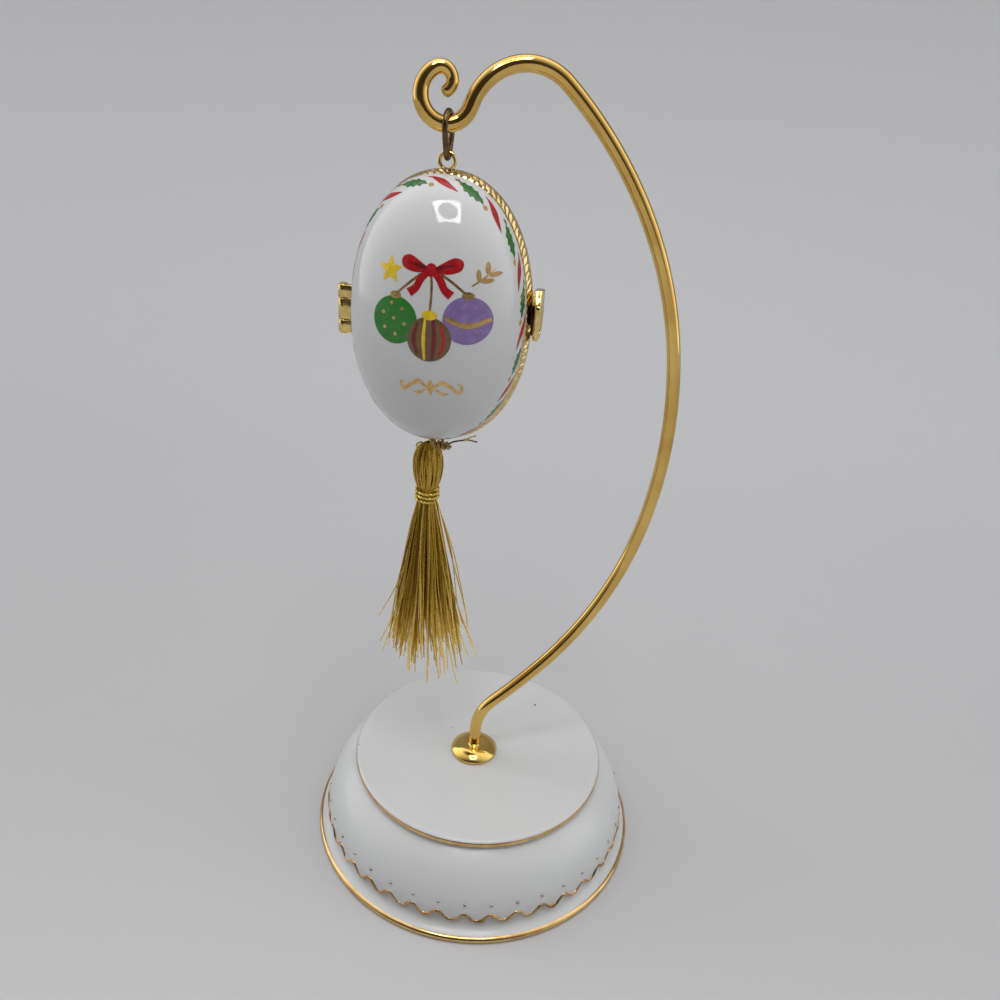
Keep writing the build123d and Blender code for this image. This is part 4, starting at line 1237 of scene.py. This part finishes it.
def make_skirt():
    """Loose thread ends that fan out from the bound neck, in locks, with a few stray ones."""
    shape = Shape()
    length = SKIRT_TOP_Z - SKIRT_BOTTOM_Z
    locks = [(chance.uniform(-0.5, 0.5), chance.uniform(0.9, 1.12)) for _ in range(SKIRT_LOCKS)]
    for strand in range(SKIRT_STRANDS):
        share = math.sqrt((strand + 0.5) / SKIRT_STRANDS)
        turn = strand * GOLDEN_TURN
        lock = int(turn / (2 * math.pi) * SKIRT_LOCKS) % SKIRT_LOCKS
        pull, flare = locks[lock]
        middle = (lock + 0.5 + pull) * 2 * math.pi / SKIRT_LOCKS
        offset = (turn - middle + math.pi) % (2 * math.pi) - math.pi
        turn = middle + offset * chance.uniform(0.3, 0.9)
        reach = SKIRT_RADIUS * share * flare * chance.uniform(0.78, 1.02)
        fall = length * chance.uniform(0.78, 1.0) * (0.86 + 0.14 * share)
        # Strands nearer the middle of the bundle are darker: painted shade inside the bundle
        tone = chance.uniform(0.12, 0.9) * (0.5 + 0.5 * share)
        bow = chance.uniform(0.85, 1.4)
        wave = chance.uniform(0.1, 0.75)
        add_strand(shape, (NECK_RADIUS - 0.35) * share, turn, reach, fall, bow, wave, 0.17, tone)
    for turn, reach, fall, bow in STRAY_STRANDS:
        add_strand(shape, NECK_RADIUS - 0.3, math.radians(turn), reach, length * fall, bow, 0.3, 0.18, 0.8)
    shape.make("tassel_skirt_threads", TASSEL_THREAD, "tassel", "tassel_thread", ["tassel_skirt"])


def make_head():
    """Folded threads that come out of the cord loop, round the bundle's shoulder and down to the neck."""
    shape = Shape()
    # A dark core under the head's threads: painted shade in the gaps between them
    core = [(max(radius - 0.45, 0.05), HEAD_TOP_Z + height - 0.5) for radius, height in HEAD_PROFILE]
    core = [(0.02, core[0][1])] + core + [(0.02, core[-1][1])]
    shape.add(*turned(core, (TASSEL_X, HANG_Y), 40, closed=False), tone=0.05)
    for thread in range(HEAD_THREADS):
        turn = 2 * math.pi * thread / HEAD_THREADS + chance.uniform(-0.03, 0.03)
        swell = chance.uniform(0.93, 1.03)
        lean = chance.uniform(-0.1, 0.1)
        corners = []
        for index, (radius, height) in enumerate(HEAD_PROFILE):
            angle = turn + lean * math.sin(index * 0.8) + chance.uniform(-0.03, 0.03)
            grow = swell if index < HEAD_SWELLING else 1.0
            corners.append(around_tassel(radius * grow, angle, HEAD_TOP_Z + height))
        shape.add(*tube(smooth_path(corners, 4), 0.27, 6), tone=chance.uniform(0.04, 0.6))
    for turn, height, size in SLACK_FOLDS:
        out = Vector((math.cos(turn), math.sin(turn), 0))
        middle = around_tassel(2.6, turn, HEAD_TOP_Z + height)
        corners = []
        for step in range(9):
            angle = math.pi * (step / 8 * 1.5 - 0.25)
            rise = Vector((0, 0, size * 0.9 * math.cos(angle)))
            corners.append(middle + out * (size * math.sin(angle)) + rise)
        shape.add(*tube(smooth_path(corners, 3), 0.24, 6), tone=0.75)
    shape.make("tassel_head_threads", TASSEL_THREAD, "tassel", "tassel_thread", ["tassel_head"])


def make_binding():
    """The gold cord wound round the neck, twisted from three plies."""
    radius = NECK_RADIUS + BINDING_CORD / 2 - 0.02
    low = (BINDING_TOP_Z + SKIRT_TOP_Z) / 2 - BINDING_TURNS * BINDING_PITCH / 2
    path = []
    for step in range(BINDING_STEPS + 1):
        along = BINDING_TURNS * step / BINDING_STEPS
        path.append(around_tassel(radius, -2 * math.pi * along - 0.6, low + BINDING_PITCH * along))
    details = ("tassel_wound_cord", BINDING_THREAD, "tassel", "binding_thread", ["tassel_binding"])
    make_single(twisted(path, BINDING_CORD, 3, 1.6), *details, tone=0.6)


def make_loop():
    """The twisted cord loop in the lower eyelet."""
    lean = math.asin((LOOP_X - TASSEL_X) / LOOP_LENGTH)
    path = []
    for _, y, z in drop_loop(LOOP_X, HANG_Y, 0, -LOOP_LENGTH, 1.3, 1.05, 24):
        path.append((LOOP_X + z * math.sin(lean), y, LOOP_TOP_Z + z * math.cos(lean)))
    cord = twisted(path, LOOP_CORD, 2, 1.75, closed=True)
    make_single(cord, "tassel_cord_loop", TASSEL_THREAD, "tassel", "tassel_thread", ["tassel_loop"])


def make_tie():
    """The coiled knot in front of the eyelet and its forked tail."""
    shape = Shape()
    knot = Vector((HANG_X + 2.1, HANG_Y - 2.35, LOW_EYELET_Z - 1.0))
    start = Vector((LOOP_X, HANG_Y - 1.3, LOOP_TOP_Z - 1.3))
    lead = smooth_path([start, start + Vector((0.6, -0.8, 0.2)), knot + Vector((-1.9, -0.2, -0.2))], 8)
    shape.add(*twisted(lead, 0.6, 2, 1.2), tone=0.35)
    coil = []
    for step in range(KNOT_STEPS + 1):
        along = step / KNOT_STEPS
        turn = 2 * math.pi * KNOT_TURNS * along
        radius = KNOT_RADIUS * (0.55 + 0.45 * math.sin(math.pi * along))
        lie = (KNOT_SPREAD * (2 * along - 1), radius * math.cos(turn), radius * math.sin(turn))
        coil.append(knot + Vector(lie))
    shape.add(*twisted(coil, KNOT_CORD, 2, 1.4), tone=0.68)
    # A dark bead inside the coil: painted shade in the knot's hollow
    shape.add(*bead(knot, (KNOT_SPREAD, 0.6, 0.6)), tone=0.0)
    fork = knot + Vector((6.2, 0, 2.3))
    tail = smooth_path([knot + Vector((1.4, 0, 0.2)), knot + Vector((3.1, 0, 1.35)), fork], 10)
    shape.add(*tube(tail, 0.22, 8), tone=0.45)
    shape.add(*bead(fork, (0.45, 0.43, 0.43)), tone=0.9)
    for lean, tone in ((-3.0, 0.6), (29.0, 1.0)):
        way = math.radians(lean)
        tip = fork + Vector((math.cos(way), 0, math.sin(way))) * TAIL_END
        prong = smooth_path([fork, (fork + tip) / 2 + Vector((0, 0, 0.12)), tip], 6)
        shape.add(*tube(prong, 0.2, 8), tone=tone)
        shape.add(*bead(tip, (0.26, 0.25, 0.25)), tone=tone)
    shape.make("tassel_knot", KNOT_THREAD, "tassel", "binding_thread", ["tassel_tie"])


make_skirt()
make_head()
make_binding()
make_loop()
make_tie()


# Stage, light and camera

FLOOR_COLOUR = (0.55, 0.552, 0.56)
BACKDROP_COLOUR = (0.78, 0.785, 0.80)
BACKDROP_GLOW = 0.16
FLOOR_Z = -0.05
FLOOR_FRONT_Y = -1500.0
SWEEP_START_Y = 300.0
SWEEP_RADIUS = 420
SWEEP_STEPS = 16
BACKDROP_TOP_Z = 1600.0
STAGE_HALF_WIDTH = 1800.0
PANEL_MIDDLE = Vector((19, -195, 500))
PANEL_STRENGTH = 11.0
PANEL_YAW = math.radians(18.5)
PANEL_HALF = 95.0
PANEL_HOLE = 72.0
# The light tent: a dark room in front, a pale wall behind, and what the camera sees
ROOM_COLOUR = (0.05, 0.045, 0.04)
WALL_COLOUR = (1.35, 1.355, 1.37)
LEFT_GAIN = 1.2
SEEN_COLOUR = (0.46, 0.465, 0.475)
# The camera's pitch, yaw and roll, and the turn of the egg's front, in degrees
CAMERA_ANGLES = (24.0, 0.17, 4.53, 9.5)
CAMERA_PLACE = Vector((0, -187.7, 194.4))
CAMERA_LENS = 27.036


def make_stage():
    """A pale floor that sweeps up into a backdrop well behind the object."""
    material, place = new_material("backdrop_card")
    depth = add_node(material, "SeparateXYZ", {"Vector": place}).outputs["Y"]
    behind = spread(material, depth, 0, 1, 0.0, 0.72)
    card = ramp(material, behind, [(0.0, FLOOR_COLOUR), (1.0, BACKDROP_COLOUR)])
    seen = add_node(material, "LightPath", {}).outputs["Is Camera Ray"]
    glow = compute(material, "MULTIPLY", seen, spread(material, behind, 0.0, BACKDROP_GLOW, 0.1, 0.9))
    looks = {"Base Color": card, "Emission Color": card, "Emission Strength": glow}
    dress(material, {**looks, "Roughness": 0.75, "Specular IOR Level": 0.2})
    section = [(FLOOR_FRONT_Y, FLOOR_Z), (SWEEP_START_Y, FLOOR_Z)]
    for step in range(1, SWEEP_STEPS + 1):
        turn = math.pi / 2 * step / SWEEP_STEPS
        rise = FLOOR_Z + SWEEP_RADIUS * (1 - math.cos(turn))
        section.append((SWEEP_START_Y + SWEEP_RADIUS * math.sin(turn), rise))
    section.append((SWEEP_START_Y + SWEEP_RADIUS, BACKDROP_TOP_Z))
    points = [(x, y, z) for y, z in section for x in (-STAGE_HALF_WIDTH, STAGE_HALF_WIDTH)]
    backdrop = new_piece("backdrop", points, grid_faces(len(section), 2), material)
    backdrop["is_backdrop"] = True


def make_panel():
    """The square lamp above, with the round opening in its middle."""
    material, _ = new_material("lamp_panel")
    glow = {"Emission Color": (1.0, 0.985, 0.97, 1), "Emission Strength": PANEL_STRENGTH}
    dress(material, {"Base Color": (0, 0, 0, 1), **glow})
    points = []
    turns = full_turn(64)
    for turn in turns:
        way = Vector((math.cos(turn + PANEL_YAW), math.sin(turn + PANEL_YAW), 0))
        reach = PANEL_HALF / max(abs(math.cos(turn)), abs(math.sin(turn)))
        points += [PANEL_MIDDLE + way * distance for distance in (PANEL_HOLE, reach)]
    panel = new_piece("lamp_panel", points, grid_faces(len(turns), 2, loop_rows=True), material)
    panel.visible_camera = False
    panel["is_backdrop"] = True


def make_world():
    """Soft light from above, behind and the sides, and a darker room in front, as inside a light tent."""
    world = bpy.data.worlds.new("tent")
    bpy.context.scene.world = world
    world.use_nodes = True
    way = add_node(world, "TexCoord", {}).outputs["Generated"]
    split = add_node(world, "SeparateXYZ", {"Vector": way}).outputs
    room = ramp(world, spread(world, split["Y"], 0, 1, -1, 1), [(0.10, ROOM_COLOUR), (0.55, WALL_COLOUR)])
    gain = spread(world, split["X"], LEFT_GAIN, 1.0, -1.0, 0.0)
    lit = {"Vector": room, "Scale": gain}
    tent = add_node(world, "VectorMath", lit, operation="SCALE").outputs["Vector"]
    seen = add_node(world, "LightPath", {}).outputs["Is Camera Ray"]
    background = world.node_tree.nodes["Background"].inputs
    plug(world, background["Color"], mixed(world, seen, tent, SEEN_COLOUR))
    background["Strength"].default_value = 1.0


def make_camera():
    """The photograph's view: place, pitch, yaw, roll and focal length, turned with the egg's front."""
    pitch, yaw, roll, turn = (math.radians(value) for value in CAMERA_ANGLES)
    ahead = Vector((math.sin(yaw) * math.cos(pitch), math.cos(yaw) * math.cos(pitch), -math.sin(pitch)))
    level = Vector((math.cos(yaw), -math.sin(yaw), 0))
    above = level.cross(ahead)
    right = level * math.cos(roll) + above * math.sin(roll)
    up = above * math.cos(roll) - level * math.sin(roll)
    spin = Matrix.Rotation(turn, 3, "Z")
    place = spin @ CAMERA_PLACE * MM
    camera = bpy.data.cameras.new("camera")
    camera.sensor_fit = "HORIZONTAL"
    camera.sensor_width = 36.0
    camera.lens = CAMERA_LENS
    camera.clip_start = 0.01
    holder = bpy.data.objects.new("camera", camera)
    columns = [spin @ right, spin @ up, spin @ -ahead]
    matrix = Matrix([[column[row] for column in columns] for row in range(3)]).to_4x4()
    holder.matrix_world = Matrix.Translation(place) @ matrix
    bpy.context.scene.collection.objects.link(holder)
    bpy.context.scene.camera = holder


make_stage()
make_panel()
make_world()
make_camera()
bpy.context.scene.view_settings.view_transform = "Standard"

boxes = {"cad": cad_bounds, "visual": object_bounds()}
{name: [list(corner) for corner in corners] for name, corners in boxes.items()}
